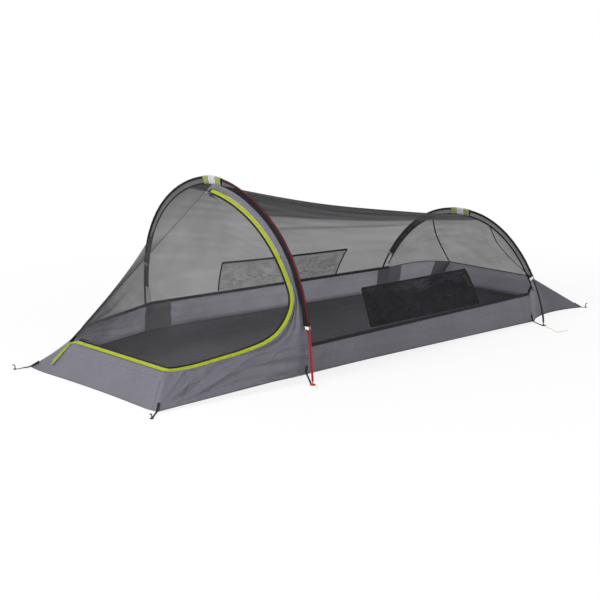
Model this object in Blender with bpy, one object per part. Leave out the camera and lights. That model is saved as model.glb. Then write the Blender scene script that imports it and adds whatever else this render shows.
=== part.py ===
"""Inner tent of a low one-person tent: a mesh canopy on a tub floor, held up by two hoops.

Metres. +X runs from the head to the foot, -Y is the side with the door zip, +Z is up, the ground is Z = 0.
"""

import math

import bmesh
import bpy
import numpy as np

# Whole tent
LENGTH = 2.568
GROUND_GAP = 0.0005

# Hoops: superellipses in planes that lean on their feet
FRONT_FOOT_X = -0.576
FRONT_HALF_WIDTH = 0.514
FRONT_HEIGHT = 0.740
FRONT_LEAN = -0.053
FRONT_SIDE_POWER = 1.734
FRONT_TOP_POWER = 3.097
REAR_FOOT_X = 0.832
REAR_HALF_WIDTH = 0.512
REAR_HEIGHT = 0.4615
REAR_LEAN = 0.021
REAR_SIDE_POWER = 2.167
REAR_TOP_POWER = 1.490
HOOP_STEPS = 48
FIRST_SEAM_STEP = 6

# Poles
POLE_RADIUS = 0.00425
POLE_BORE = 0.00370
FIT = 0.00035
STUB_BORE = 0.00260
STUB_REACH = 0.040
STUB_GLUED = 0.020
CORD_RADIUS = 0.00125
FRONT_SECTIONS = 6
REAR_SECTIONS = 4
POLE_SIDES = 8
BALL_RADIUS = 0.0035
NECK_RADIUS = 0.0020
NECK_TOP = 0.011
COLLAR_TOP = 0.019
PLUG_TOP = 0.031

# Cloth
FABRIC = 0.0005
NET = 0.0003
SEAM = 0.00048
SHARP_SEAM = 0.0012
FLOOR_SEAM = 0.0006

# Sleeves, patches and clips
SLEEVE_BORE = 0.0050
SLEEVE_CLOTH = 0.0004
SEAM_DEPTH = 0.024
SLEEVE_ENDS = {"front": (0.228, 0.334), "rear": (0.209, 0.209)}
PATCH_HALF_LENGTH = 0.046
PATCH_CLOTH = 0.0005
PATCH_FIT = 0.00060
CLIP_LENGTH = 0.012
CLIP_WALL = 0.0022
CLIP_BELOW_SLEEVE = 0.0006
CLIP_REACH = 0.015

# Tub: half the widths and heights of its edges
HEAD_X = -1.226
HEAD_HALF_WIDTH = 0.409
HEAD_LIFT = 0.008
HEAD_TOP_X = -1.106
HEAD_TOP_HALF_WIDTH = 0.303
HEAD_TOP_Z = 0.106
HEAD_CORNER_OUT = 0.016
NEAR_SHOULDER_TOP = ((-1.006, 0.340, 0.110), (-0.825, 0.400, 0.142))
FAR_SHOULDER_TOP = ((-1.006, 0.340, 0.145), (-0.825, 0.400, 0.150))
FRONT_TOP_IN = 0.021
FRONT_TOP_AHEAD = 0.011
FRONT_TOP_Z = 0.150
FRONT_EDGE_IN = 0.037
FRONT_EDGE_Z = 0.040
REAR_TOP_IN = 0.0875
REAR_TOP_BACK = 0.006
REAR_TOP_Z = 0.131
REAR_EDGE_IN = 0.062
REAR_EDGE_AHEAD = 0.007
REAR_EDGE_Z = 0.010
WAIST_X = 1.084
WAIST_HALF_WIDTH = 0.369
FOOT_X = 1.242
FOOT_CORNER_OUT = 0.020
FOOT_HALF_WIDTH = 0.405
FOOT_TOP_X = 1.062
FOOT_TOP_HALF_WIDTH = 0.245
FOOT_TOP_Z = 0.154
FLOOR_RISE_WIDTH = 0.110
FLOOR_RISE_SHARES = (0.0, 0.25, 0.6, 1.0)
FLOOR_MIDDLE_SHARE = 0.35
FOOT_CURVE_POWER = 8
HEAD_CURVE_POWER = 2
HEAD_CURVE_START_POWER = 3
GUSSET_RISE = 0.014

# How much stronger the cloth is drawn along the tent than across it, and the foot's sag
MIDDLE_PULL = 0.7
FAR_FRONT_PULL = 0.6
FRONT_PULL = 1.0
FOOT_SAG = 0.034

# Corner seams of the foot canopy start this far from the middle on the rear hoop
CORNER_SEAM_HALF_WIDTH = 0.19

# Door and zip
TAPE_WIDTH = 0.008
TAPE_THICKNESS = 0.0010
ZIP_GAP = 0.0016
ZIP_FROM_HOOP = 0.036
ZIP_TURN = 0.78
ZIP_MEETS_TUB = 0.49
ZIP_START = 0.035
ZIP_END = 0.025
ZIP_ARCH_POINTS = 21
ZIP_TUB_POINTS = 7
ZIP_HEAD_POINTS = 9
ZIP_HEAD_START_SHARE = 0.03
ZIP_CORNER_SHARE = 1.2
ZIP_TURN_POWER = 3
DOOR_HEM = 0.015
DOOR_ROW_SHARES = (0.35, 0.57, 0.79, 1.0)
DOOR_SEAM_SHARES = (0.06, 0.96)
PANEL_ROW_SHARES = (0.0, 0.3, 0.6)
PANEL_END_SHARE = 0.98
PANEL_TOP = 0.045
TAIL_LENGTH = 0.085
TAIL_WIDTH = 0.014
SLIDER_LENGTH = 0.012
SLIDER_WIDTH = 0.009
SLIDER_PLATE = 0.0016
SLIDER_POST = 0.0008
SLIDER_FROM_CORNER = 0.050
PULLER_LENGTH = 0.026
PULLER_WIDTH = 0.005
PULLER_THICKNESS = 0.0012
PULLER_PIN = 0.0007

# Pockets, as stretches of the middle canopy
POCKET_ALONG = (0.25, 0.745)
POCKET_FOOT = 0.006
POCKET_TOP = ((0.094, 0.125), (0.084, 0.116))
POCKET_DROP = 0.012

# Straps, tabs and pegs
WEBBING = 0.0010
STRAP_RING_OUTER = 0.0085
STRAP_RING_INNER = 0.0040
STRAP_WIDTH = 0.0090
STRAP_UP_WALL = 0.030
TAB_RING_OUTER = 0.009
TAB_RING_INNER = 0.0027
TAB_WIDTH = 0.011
TAB_PAST_CORNER = {"head": 0.0002, "foot": 0.0009}
TAB_HALF_WIDTH = {"head": 0.443, "foot": 0.418}
PEG_RADIUS = 0.0020
PEG_HEIGHT = 0.012
PEG_BEND = 0.007

# Lantern hook
LOOP_RING_OUTER = 0.0042
LOOP_RING_INNER = 0.0024
LOOP_WIDTH = 0.0050
LOOP_DROP = 0.010
HOOK_RADIUS = 0.0015
HOOK_SHANK = 0.020
HOOK_BEND = 0.0075

# Loose cords at the near feet
LOOSE_CORD_RADIUS = 0.0011
FRONT_CORD = ((0.0, -0.0090, 0.0), (-0.004, -0.024, 0.0), (-0.016, -0.040, 0.0), (-0.022, -0.046, 0.0))
REAR_CORD = (
    (-0.002, -0.0090, 0.0),
    (-0.020, -0.040, 0.0),
    (-0.036, -0.078, 0.0),
    (-0.058, -0.110, 0.0),
    (-0.052, -0.122, 0.0),
    (-0.022, -0.124, 0.0),
    (0.000, -0.130, 0.0),
)

COLOURS = {
    "black_pole": (0.012, 0.012, 0.014, 1.0),
    "red_pole": (0.42, 0.012, 0.012, 1.0),
    "grey_fabric": (0.20, 0.19, 0.22, 1.0),
    "floor_fabric": (0.045, 0.045, 0.052, 1.0),
    "black_net": (0.02, 0.02, 0.022, 1.0),
    "black_trim": (0.010, 0.010, 0.012, 1.0),
    "lime_trim": (0.60, 0.78, 0.03, 1.0),
    "white_plastic": (0.80, 0.80, 0.80, 1.0),
    "bare_metal": (0.55, 0.55, 0.57, 1.0),
    "white_cord": (0.70, 0.70, 0.68, 1.0),
    "red_webbing": (0.50, 0.03, 0.02, 1.0),
}
METALS = {"black_pole", "red_pole", "bare_metal"}


def clear_scene():
    for obj in list(bpy.data.objects):
        bpy.data.objects.remove(obj, do_unlink=True)


def give_material(obj, colour):
    material = bpy.data.materials.new(obj.name)
    material.use_nodes = True
    shader = material.node_tree.nodes["Principled BSDF"]
    shader.inputs["Base Color"].default_value = COLOURS[colour]
    shader.inputs["Roughness"].default_value = 0.35 if colour in METALS else 0.75
    shader.inputs["Metallic"].default_value = 0.9 if colour in METALS else 0.0
    obj.data.materials.append(material)


def add_mesh(name, points, faces, colour):
    """One closed body from points and faces, its faces turned outwards."""
    mesh = bpy.data.meshes.new(name)
    used = sorted({index for face in faces for index in face})
    place = {index: number for number, index in enumerate(used)}
    vertices = [tuple(float(c) for c in points[index]) for index in used]
    mesh.from_pydata(vertices, [], [[place[index] for index in face] for face in faces])
    shape = bmesh.new()
    shape.from_mesh(mesh)
    bmesh.ops.recalc_face_normals(shape, faces=shape.faces)
    if shape.calc_volume(signed=True) < 0.0:
        bmesh.ops.reverse_faces(shape, faces=shape.faces)
    shape.to_mesh(mesh)
    shape.free()
    obj = bpy.data.objects.new(name, mesh)
    bpy.context.scene.collection.objects.link(obj)
    give_material(obj, colour)
    return obj


def rim_edges(faces):
    """Edges of one face only, in the direction that the face runs."""
    edges = {(face[i - 1], face[i]) for face in faces for i in range(len(face))}
    return [edge for edge in edges if (edge[1], edge[0]) not in edges]


def stacked(layers, faces):
    """Points and faces of a solid whose caps are the first and the last layer."""
    count = len(layers[0])
    points = np.concatenate(layers)
    last = (len(layers) - 1) * count
    solid = [list(face)[::-1] for face in faces]
    solid += [[index + last for index in face] for face in faces]
    for a, b in sorted(rim_edges(faces)):
        for low in range(0, last, count):
            solid.append([a + low, b + low, b + low + count, a + low + count])
    return points, solid


def unit(vectors):
    lengths = np.linalg.norm(vectors, axis=-1, keepdims=True)
    return vectors / np.maximum(lengths, 1e-12)


def grid_faces(rows, columns):
    return [
        [r * columns + c, r * columns + c + 1, (r + 1) * columns + c + 1, (r + 1) * columns + c]
        for r in range(rows - 1)
        for c in range(columns - 1)
    ]


def sheet_triangles(points, faces):
    """Triangles of a sheet. Points at one place count as one, so that both skins fold alike."""
    keys = {}
    place = [keys.setdefault(tuple(np.round(point, 6)), number) for number, point in enumerate(points)]
    kept = []
    for face in faces:
        ring = [place[index] for index in face]
        ring = [index for i, index in enumerate(ring) if index != ring[i - 1]]
        kept += [[ring[0], ring[i], ring[i + 1]] for i in range(1, len(ring) - 1)]
    return kept


def sheet_normals(points, faces):
    normals = np.zeros_like(points)
    for face in faces:
        corners = points[face]
        area = sum(np.cross(corners[i - 1], corners[i]) for i in range(len(face)))
        normals[face] += area
    return unit(normals)


def drawn_in(points, faces, inset):
    """The sheet with its rim drawn in along its own surface, so that it ends just short of the seam."""
    normals = sheet_normals(points, faces)
    inward = {}
    for a, b in rim_edges(faces):
        along = unit(points[b] - points[a])
        for end in (a, b):
            inward.setdefault(end, []).append(unit(np.cross(normals[end], along)))
    moved = points.copy()
    for index, sides in inward.items():
        middle = unit(sum(sides))
        moved[index] += middle * inset / max(float(middle @ sides[0]), 0.35)
    return moved


def add_cloth(name, points, faces, colour, thickness=FABRIC, inset=SEAM):
    points = np.asarray(points, float).reshape(-1, 3)
    faces = sheet_triangles(points, faces)
    middle = drawn_in(points, faces, inset)
    offset = sheet_normals(middle, faces) * thickness / 2
    return add_mesh(name, *stacked([middle - offset, middle + offset], faces), colour)


def add_grid_cloth(name, grid, colour, thickness=FABRIC, inset=SEAM):
    faces = grid_faces(grid.shape[0], grid.shape[1])
    return add_cloth(name, grid, faces, colour, thickness, inset)


def even_points(route, count):
    """Points at equal distances along a route."""
    route = np.asarray(route, float)
    steps = np.linalg.norm(np.diff(route, axis=0), axis=1)
    travelled = np.concatenate([[0.0], np.cumsum(steps)])
    wanted = np.linspace(0.0, travelled[-1], count)
    return np.stack([np.interp(wanted, travelled, route[:, axis]) for axis in range(3)], axis=1)


def read_grid(grid, row, column):
    """The point of a grid at fractional row and column."""
    row = min(max(row, 0.0), grid.shape[0] - 1.0)
    column = min(max(column, 0.0), grid.shape[1] - 1.0)
    r = min(int(row), grid.shape[0] - 2)
    c = min(int(column), grid.shape[1] - 2)
    across = grid[r : r + 2, c] * (1 - (column - c)) + grid[r : r + 2, c + 1] * (column - c)
    return across[0] * (1 - (row - r)) + across[1] * (row - r)


def taut(grid, pull, rounds=600):
    """Draws the inside of a grid taut between its fixed rim; pull is how much stronger the rows are."""
    grid = grid.copy()
    for _ in range(rounds):
        along = grid[:-2, 1:-1] + grid[2:, 1:-1]
        across = grid[1:-1, :-2] + grid[1:-1, 2:]
        grid[1:-1, 1:-1] = (pull * along + across) / (2 * pull + 2)
    return grid


class Hoop:
    """A pole bent into a superellipse in a plane that leans on its two feet."""

    def __init__(self, foot_x, half_width, height, lean, side_power, top_power):
        self.foot = np.array([foot_x, 0.0, BALL_RADIUS + GROUND_GAP])
        self.across = np.array([0.0, 1.0, 0.0])
        self.rise = unit(np.array([lean, 0.0, height]))
        self.facing = np.cross(self.across, self.rise)
        turns = np.linspace(0.0, math.pi, 2001)
        sides = -half_width * np.sign(np.cos(turns)) * np.abs(np.cos(turns)) ** (2 / side_power)
        tall = (height - self.foot[2]) / self.rise[2]
        ups = tall * np.abs(np.sin(turns)) ** (2 / top_power)
        route = self.foot + sides[:, None] * self.across + ups[:, None] * self.rise
        self.stations = even_points(route, HOOP_STEPS + 1)
        self.length = float(np.linalg.norm(np.diff(self.stations, axis=0), axis=1).sum())
        self.step = self.length / HOOP_STEPS
        tangents = unit(np.gradient(self.stations, axis=0))
        self.inward = unit(np.cross(self.facing, tangents))
        if self.inward[HOOP_STEPS // 2, 2] > 0:
            self.inward = -self.inward

    def at(self, distance):
        """Centre and inward direction at a distance along the pole from its near foot."""
        place = min(max(distance / self.step, 0.0), HOOP_STEPS - 1e-9)
        low = int(place)
        part = place - low
        centre = self.stations[low] * (1 - part) + self.stations[low + 1] * part
        inward = self.inward[low] * (1 - part) + self.inward[low + 1] * part
        return centre, unit(inward)

    def section(self, distance, outline):
        """Points of an outline, inward and facing offsets, set square to the pole."""
        centre, inward = self.at(distance)
        return np.array([centre + inward * a + self.facing * b for a, b in outline])

    def distances(self, start, end):
        """Start, end and the stations between them."""
        inner = [i * self.step for i in range(HOOP_STEPS + 1)]
        between = [d for d in inner if start + 1e-4 < d < end - 1e-4]
        return [start, *between, end]

    def distance_at_height(self, height):
        """Distance from the near foot to where the pole first passes a height."""
        half = self.stations[: HOOP_STEPS // 2 + 1, 2]
        return float(np.interp(height, half, np.arange(len(half)) * self.step))

    def seam_point(self, station):
        return self.stations[station] + self.inward[station] * SEAM_DEPTH

    def seam_route(self):
        last = HOOP_STEPS - FIRST_SEAM_STEP
        return np.array([self.seam_point(i) for i in range(FIRST_SEAM_STEP, last + 1)])


FRONT = Hoop(
    FRONT_FOOT_X, FRONT_HALF_WIDTH, FRONT_HEIGHT, FRONT_LEAN, FRONT_SIDE_POWER, FRONT_TOP_POWER
)
REAR = Hoop(REAR_FOOT_X, REAR_HALF_WIDTH, REAR_HEIGHT, REAR_LEAN, REAR_SIDE_POWER, REAR_TOP_POWER)
HOOPS = {"front": FRONT, "rear": REAR}


def mirrored(point, side):
    """A point given for the far side, on side +1 or -1."""
    return np.array([point[0], point[1] * side, point[2]])


def tub_corner(name, side):
    corners = {
        "head_edge": (HEAD_X, HEAD_HALF_WIDTH, HEAD_LIFT),
        "head_top": (HEAD_TOP_X, HEAD_TOP_HALF_WIDTH, HEAD_TOP_Z),
        "front_top": (FRONT_FOOT_X + FRONT_TOP_AHEAD, FRONT_HALF_WIDTH - FRONT_TOP_IN, FRONT_TOP_Z),
        "front_edge": (FRONT_FOOT_X, FRONT_HALF_WIDTH - FRONT_EDGE_IN, FRONT_EDGE_Z),
        "rear_top": (REAR_FOOT_X - REAR_TOP_BACK, REAR_HALF_WIDTH - REAR_TOP_IN, REAR_TOP_Z),
        "rear_edge": (REAR_FOOT_X + REAR_EDGE_AHEAD, REAR_HALF_WIDTH - REAR_EDGE_IN, REAR_EDGE_Z),
        "foot_top": (FOOT_TOP_X, FOOT_TOP_HALF_WIDTH, FOOT_TOP_Z),
        "foot_edge": (FOOT_X + FOOT_CORNER_OUT, FOOT_HALF_WIDTH, FABRIC),
    }
    return mirrored(corners[name], side)


def tub_top_route(side):
    """Top edge of the tub from the head corner to the front hoop."""
    shoulder = [mirrored(point, side) for point in (NEAR_SHOULDER_TOP if side < 0 else FAR_SHOULDER_TOP)]
    return np.array([tub_corner("head_top", side), *shoulder, tub_corner("front_top", side)])


def foot_edge_point(part, side):
    """Ground edge of the foot end, from the rear hoop (0) to the foot corner (1)."""
    start = tub_corner("rear_edge", 1)
    end = tub_corner("foot_edge", 1)
    x = start[0] + (end[0] - start[0]) * part
    fixed = start if x < WAIST_X else end
    reach = (x - WAIST_X) / (fixed[0] - WAIST_X)
    y = WAIST_HALF_WIDTH + (fixed[1] - WAIST_HALF_WIDTH) * reach**2
    z = end[2] + (start[2] - end[2]) * (1 - part) ** 3
    return np.array([x, y * side, z])


def tub_edge_route(side):
    """Ground edge of the tub from the head to the foot corner."""
    corners = [tub_corner(name, side) for name in ("head_edge", "front_edge", "rear_edge")]
    head = even_points(corners[:2], 9)
    middle = even_points(corners[1:], 15)
    foot = [foot_edge_point(i / 10, side) for i in range(1, 11)]
    return np.concatenate([head, middle[1:], foot])


def make_pole(name, hoop, start, end, has_stub, colour):
    """A tube of the pole, with the stub glued in its far end that the next one slides over."""
    outer = [(d, POLE_RADIUS) for d in hoop.distances(start, end)]
    if has_stub:
        outer += [(d, POLE_BORE - FIT) for d in hoop.distances(end, end + STUB_REACH)]
        inner = [(d, STUB_BORE) for d in hoop.distances(end - STUB_GLUED, end + STUB_REACH)][::-1]
        inner += [(d, POLE_BORE) for d in hoop.distances(start, end - STUB_GLUED)][::-1]
    else:
        inner = [(d, POLE_BORE) for d in hoop.distances(start, end)][::-1]
    return make_turned(name, hoop, outer + inner, colour, closed=True)


def ring_outline(radius, sides=POLE_SIDES):
    angles = [2 * math.pi * i / sides for i in range(sides)]
    return [(radius * math.cos(angle), radius * math.sin(angle)) for angle in angles]


def make_turned(name, hoop, profile, colour, closed=False):
    """A solid turned about the pole's line from (distance, radius) pairs."""
    rings = np.concatenate([hoop.section(d, ring_outline(r)) for d, r in profile])
    count = len(profile)
    faces = []
    for number in range(count if closed else count - 1):
        low = number * POLE_SIDES
        high = (number + 1) % count * POLE_SIDES
        for side in range(POLE_SIDES):
            turn = (side + 1) % POLE_SIDES
            faces.append([low + side, low + turn, high + turn, high + side])
    if not closed:
        faces.append(list(range(POLE_SIDES))[::-1])
        faces.append([(count - 1) * POLE_SIDES + side for side in range(POLE_SIDES)])
    return add_mesh(name, rings, faces, colour)


def make_tip(name, hoop, at_far_end):
    """Ball foot, collar and plug in the open end of the pole."""
    ball = [
        (BALL_RADIUS * -math.cos(angle), BALL_RADIUS * math.sin(angle))
        for angle in np.radians([12, 40, 68, 96, 124])
    ]
    profile = ball + [
        (BALL_RADIUS * 1.2, NECK_RADIUS),
        (NECK_TOP, NECK_RADIUS),
        (NECK_TOP, POLE_RADIUS),
        (COLLAR_TOP, POLE_RADIUS),
        (COLLAR_TOP, POLE_BORE - FIT),
        (PLUG_TOP, POLE_BORE - FIT),
    ]
    centre, _ = hoop.at(hoop.length if at_far_end else 0.0)
    near, _ = hoop.at(hoop.length - hoop.step if at_far_end else hoop.step)
    along = unit(near - centre)
    across = unit(np.cross(hoop.facing, along))
    points = [
        centre + along * d + across * a + hoop.facing * b
        for d, r in profile
        for a, b in ring_outline(r)
    ]
    rows = len(profile)
    faces = [list(range(POLE_SIDES)), [(rows - 1) * POLE_SIDES + i for i in range(POLE_SIDES)]]
    for row in range(rows - 1):
        for side in range(POLE_SIDES):
            turn = (side + 1) % POLE_SIDES
            low = row * POLE_SIDES
            faces.append([low + side, low + turn, low + POLE_SIDES + turn, low + POLE_SIDES + side])
    return add_mesh(name, np.array(points), faces, "bare_metal")


def make_hoop_poles(kind, sections):
    hoop = HOOPS[kind]
    first = COLLAR_TOP + FIT
    last = hoop.length - COLLAR_TOP - FIT
    colour = "red_pole" if kind == "front" else "black_pole"
    for number in range(sections):
        start = first + (last - first) * number / sections
        end = first + (last - first) * (number + 1) / sections
        is_last = number == sections - 1
        name = f"{kind}_pole_section_{number + 1}"
        tone = colour if number < sections / 2 else "black_pole"
        make_pole(name, hoop, start + FIT, end, not is_last, tone)
    make_tip(f"{kind}_pole_tip_near", hoop, False)
    make_tip(f"{kind}_pole_tip_far", hoop, True)
    ends = (PLUG_TOP + FIT, hoop.length - PLUG_TOP - FIT)
    cord = [(d, CORD_RADIUS) for d in hoop.distances(*ends)]
    make_turned(f"{kind}_shock_cord", hoop, cord, "white_cord")


def ring_and_arm(outer, inner, arm_ends, arm_width, sides=POLE_SIDES):
    """Flat outline of a ring with an arm along +a: its points and its faces."""
    spread = math.asin(min(arm_width / 2 / outer, 0.9))
    angles = np.linspace(spread, 2 * math.pi - spread, sides)
    points = [(outer * math.cos(angle), outer * math.sin(angle)) for angle in angles]
    points += [(inner * math.cos(angle), inner * math.sin(angle)) for angle in angles]
    faces = [
        [i, (i + 1) % sides, (i + 1) % sides + sides, i + sides]
        for i in range(sides)
    ]
    low, high = sides - 1, 0
    for end in arm_ends:
        points += [(end, -arm_width / 2), (end, arm_width / 2)]
        faces.append([high, low, len(points) - 2, len(points) - 1])
        low, high = len(points) - 2, len(points) - 1
    return points, faces


def make_sleeve(kind):
    hoop = HOOPS[kind]
    near, far = SLEEVE_ENDS[kind]
    start = hoop.distance_at_height(near)
    end = hoop.length - hoop.distance_at_height(far)
    outline, faces = ring_and_arm(
        SLEEVE_BORE + SLEEVE_CLOTH, SLEEVE_BORE, [SEAM_DEPTH - SEAM], SLEEVE_CLOTH
    )
    layers = [hoop.section(d, outline) for d in hoop.distances(start, end)]
    add_mesh(f"{kind}_hoop_sleeve", *stacked(layers, faces), "black_net")


def make_patch(kind):
    """A hairpin of cloth over the sleeve at the top of a hoop."""
    hoop = HOOPS[kind]
    radius = SLEEVE_BORE + SLEEVE_CLOTH + PATCH_FIT + PATCH_CLOTH
    leg = SLEEVE_CLOTH / 2 + PATCH_FIT + PATCH_CLOTH / 2
    bend = math.asin(leg / radius)
    arc = [(radius * math.cos(a), radius * math.sin(a)) for a in np.linspace(bend, 2 * math.pi - bend, 13)]
    foot = SEAM_DEPTH - 4 * SEAM
    centre = np.array([(foot, leg), *arc, (foot, -leg)])
    along = unit(np.gradient(centre, axis=0))
    out = np.stack([along[:, 1], -along[:, 0]], axis=1) * PATCH_CLOTH / 2
    outline = np.concatenate([centre - out, centre + out])
    count = len(centre)
    faces = [[i, i + 1, i + 1 + count, i + count] for i in range(count - 1)]
    middle = hoop.length / 2
    stations = hoop.distances(middle - PATCH_HALF_LENGTH, middle + PATCH_HALF_LENGTH)
    layers = [hoop.section(d, outline) for d in stations]
    add_mesh(f"{kind}_apex_patch", *stacked(layers, faces), "lime_trim")


def make_clip(kind, side_name):
    hoop = HOOPS[kind]
    is_far = side_name == "far"
    top = hoop.distance_at_height(SLEEVE_ENDS[kind][int(is_far)]) - CLIP_BELOW_SLEEVE
    ends = (top - CLIP_LENGTH, top)
    if is_far:
        ends = (hoop.length - top, hoop.length - top + CLIP_LENGTH)
    outline, faces = ring_and_arm(
        SLEEVE_BORE + CLIP_WALL, SLEEVE_BORE, [CLIP_REACH], CLIP_WALL
    )
    layers = [hoop.section(d, outline) for d in hoop.distances(*ends)]
    add_mesh(f"{kind}_clip_{side_name}", *stacked(layers, faces), "white_plastic")


def floor_grid():
    near = tub_edge_route(-1)
    far = tub_edge_route(1)
    rows = []
    for low, high in zip(near, far):
        half = high[1]
        rise = min(FLOOR_RISE_WIDTH, half)
        sides = [half - rise * share for share in FLOOR_RISE_SHARES] + [half * FLOOR_MIDDLE_SHARE]
        across = [-y for y in sides] + [0.0] + sides[::-1]
        corner = max(0.0, (high[0] - WAIST_X) / (FOOT_X + FOOT_CORNER_OUT - WAIST_X)) ** 2
        head = max(0.0, (FRONT_FOOT_X - high[0]) / (FRONT_FOOT_X - HEAD_X)) ** HEAD_CURVE_START_POWER
        row = []
        for y in across:
            share = max(0.0, 1 - (half - abs(y)) / rise)
            x = high[0] - FOOT_CORNER_OUT * corner * (1 - (abs(y) / half) ** FOOT_CURVE_POWER)
            x += HEAD_CORNER_OUT * head * (1 - (abs(y) / half) ** HEAD_CURVE_POWER)
            row.append((x, y, FABRIC / 2 + (high[2] - FABRIC / 2) * share**2))
        rows.append(row)
    return np.array(rows)


def between(low, high, shares):
    return np.array([low * (1 - share) + high * share for share in shares])


def make_head_wall(floor):
    bottom = floor[0]
    left, right = tub_corner("head_top", -1), tub_corner("head_top", 1)
    shares = (bottom[:, 1] - bottom[0, 1]) / (bottom[-1, 1] - bottom[0, 1])
    top = between(left, right, shares)
    grid = between(bottom, top, (0.0, 0.5, 1.0))
    add_grid_cloth("head_wall", grid, "grey_fabric", FABRIC, SHARP_SEAM)


def make_side_wall(side, side_name):
    edge = tub_edge_route(side)[:23]
    top_head = even_points(tub_top_route(side), 9)
    top_rear = even_points([tub_corner("front_top", side), tub_corner("rear_top", side)], 15)
    top = np.concatenate([top_head, top_rear[1:]])
    grid = between(edge, top, (0.0, 0.5, 1.0))
    add_grid_cloth(f"side_wall_{side_name}", grid, "grey_fabric")


def gusset_top(side):
    """Top edge of a foot side, from the rear hoop to the foot's corner, high on the near side of the hoop."""
    start = REAR.seam_point(FIRST_SEAM_STEP) if side < 0 else tub_corner("rear_top", side)
    line = even_points([start, tub_corner("foot_top", side)], 7)
    if side > 0:
        line[:, 2] += GUSSET_RISE * np.sin(np.linspace(0.0, math.pi, 7))
    return line


def make_foot_side(side, side_name):
    edge = np.array([foot_edge_point(i / 10, side) for i in range(11)])
    corner = tub_corner("foot_top", side)
    top = np.concatenate([gusset_top(side), even_points([corner, edge[-1]], 5)[1:]])
    middle = edge * 0.35 + top * 0.65
    if side < 0:
        middle[0] = tub_corner("rear_top", side)
    grid = np.array([edge, middle, top])
    add_grid_cloth(f"foot_side_{side_name}", grid, "grey_fabric", FABRIC, SHARP_SEAM)


def make_foot_end(floor):
    bottom = floor[-1]
    left, right = tub_corner("foot_top", -1), tub_corner("foot_top", 1)
    shares = (bottom[:, 1] - bottom[0, 1]) / (bottom[-1, 1] - bottom[0, 1])
    top = between(left, right, shares)
    grid = between(bottom, top, (0.0, 0.35, 0.7, 1.0))
    add_grid_cloth("foot_end_wall", grid, "grey_fabric", FABRIC, SHARP_SEAM)


def middle_canopy_grid():
    front = FRONT.seam_route()
    rear = REAR.seam_route()
    front = np.array([tub_corner("front_top", -1), *front, tub_corner("front_top", 1)])
    rear = np.array([tub_corner("rear_top", -1), *rear, tub_corner("rear_top", 1)])
    return taut(between(front, rear, np.linspace(0.0, 1.0, 9)), MIDDLE_PULL)


def make_foot_canopy():
    """Mesh from the rear hoop down to the top of the foot end, with a crease on each corner seam."""
    route = [*REAR.seam_route(), tub_corner("rear_top", 1)]
    inside = [i for i, point in enumerate(route) if abs(point[1]) < CORNER_SEAM_HALF_WIDTH]
    first, last = inside[0], inside[-1]
    left, right = tub_corner("foot_top", -1), tub_corner("foot_top", 1)
    grid = []
    for i, start in enumerate(route):
        share = min(max((i - first) / (last - first), 0.0), 1.0)
        end = left * (1 - share) + right * share
        weight = min(1.0, i / first, (len(route) - 1 - i) / (len(route) - 1 - last))
        column = []
        for part in np.linspace(0.0, 1.0, 7):
            sag = FOOT_SAG * weight * math.sin(math.pi * part**0.55)
            column.append(start * (1 - part) + end * part - np.array([0.0, 0.0, sag]))
        grid.append(column)
    grid[-1] = gusset_top(1)
    add_grid_cloth("foot_canopy", np.array(grid), "black_net", NET)


def half_seam(side):
    """Seam on the front hoop from its top down to the tub, on one side."""
    top = HOOP_STEPS // 2
    last = FIRST_SEAM_STEP if side < 0 else HOOP_STEPS - FIRST_SEAM_STEP
    stations = range(top, last + side, side)
    return np.array([*(FRONT.seam_point(i) for i in stations), tub_corner("front_top", side)])


def door_seam_route(count):
    return even_points([FRONT.seam_point(HOOP_STEPS // 2), tub_corner("head_top", 1)], count)


def far_front_grid():
    hoop = half_seam(1)
    end = tub_corner("head_top", 1)
    rows = 11
    grid = between(hoop, np.repeat(end[None], len(hoop), axis=0), np.linspace(0.0, 1.0, rows))
    grid[:, -1] = even_points(tub_top_route(1)[::-1], rows)
    grid[:, 0] = door_seam_route(rows)
    return taut(grid, FAR_FRONT_PULL)


def front_patch_grid():
    """Near front surface: rows run down from the door seam, columns from the hoop to the head wall."""
    hoop = half_seam(-1)
    head = even_points([tub_corner("head_top", 1), tub_corner("head_top", -1)], len(hoop))
    columns = 15
    seam = door_seam_route(columns)
    tub = even_points(tub_top_route(-1)[::-1], columns)
    u = np.linspace(0.0, 1.0, len(hoop))[:, None, None]
    v = np.linspace(0.0, 1.0, columns)[None, :, None]
    ruled = (1 - v) * hoop[:, None] + v * head[:, None] + (1 - u) * seam[None] + u * tub[None]
    corners = (1 - u) * ((1 - v) * hoop[0] + v * head[0]) + u * ((1 - v) * hoop[-1] + v * head[-1])
    return taut(ruled - corners, FRONT_PULL)


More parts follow.
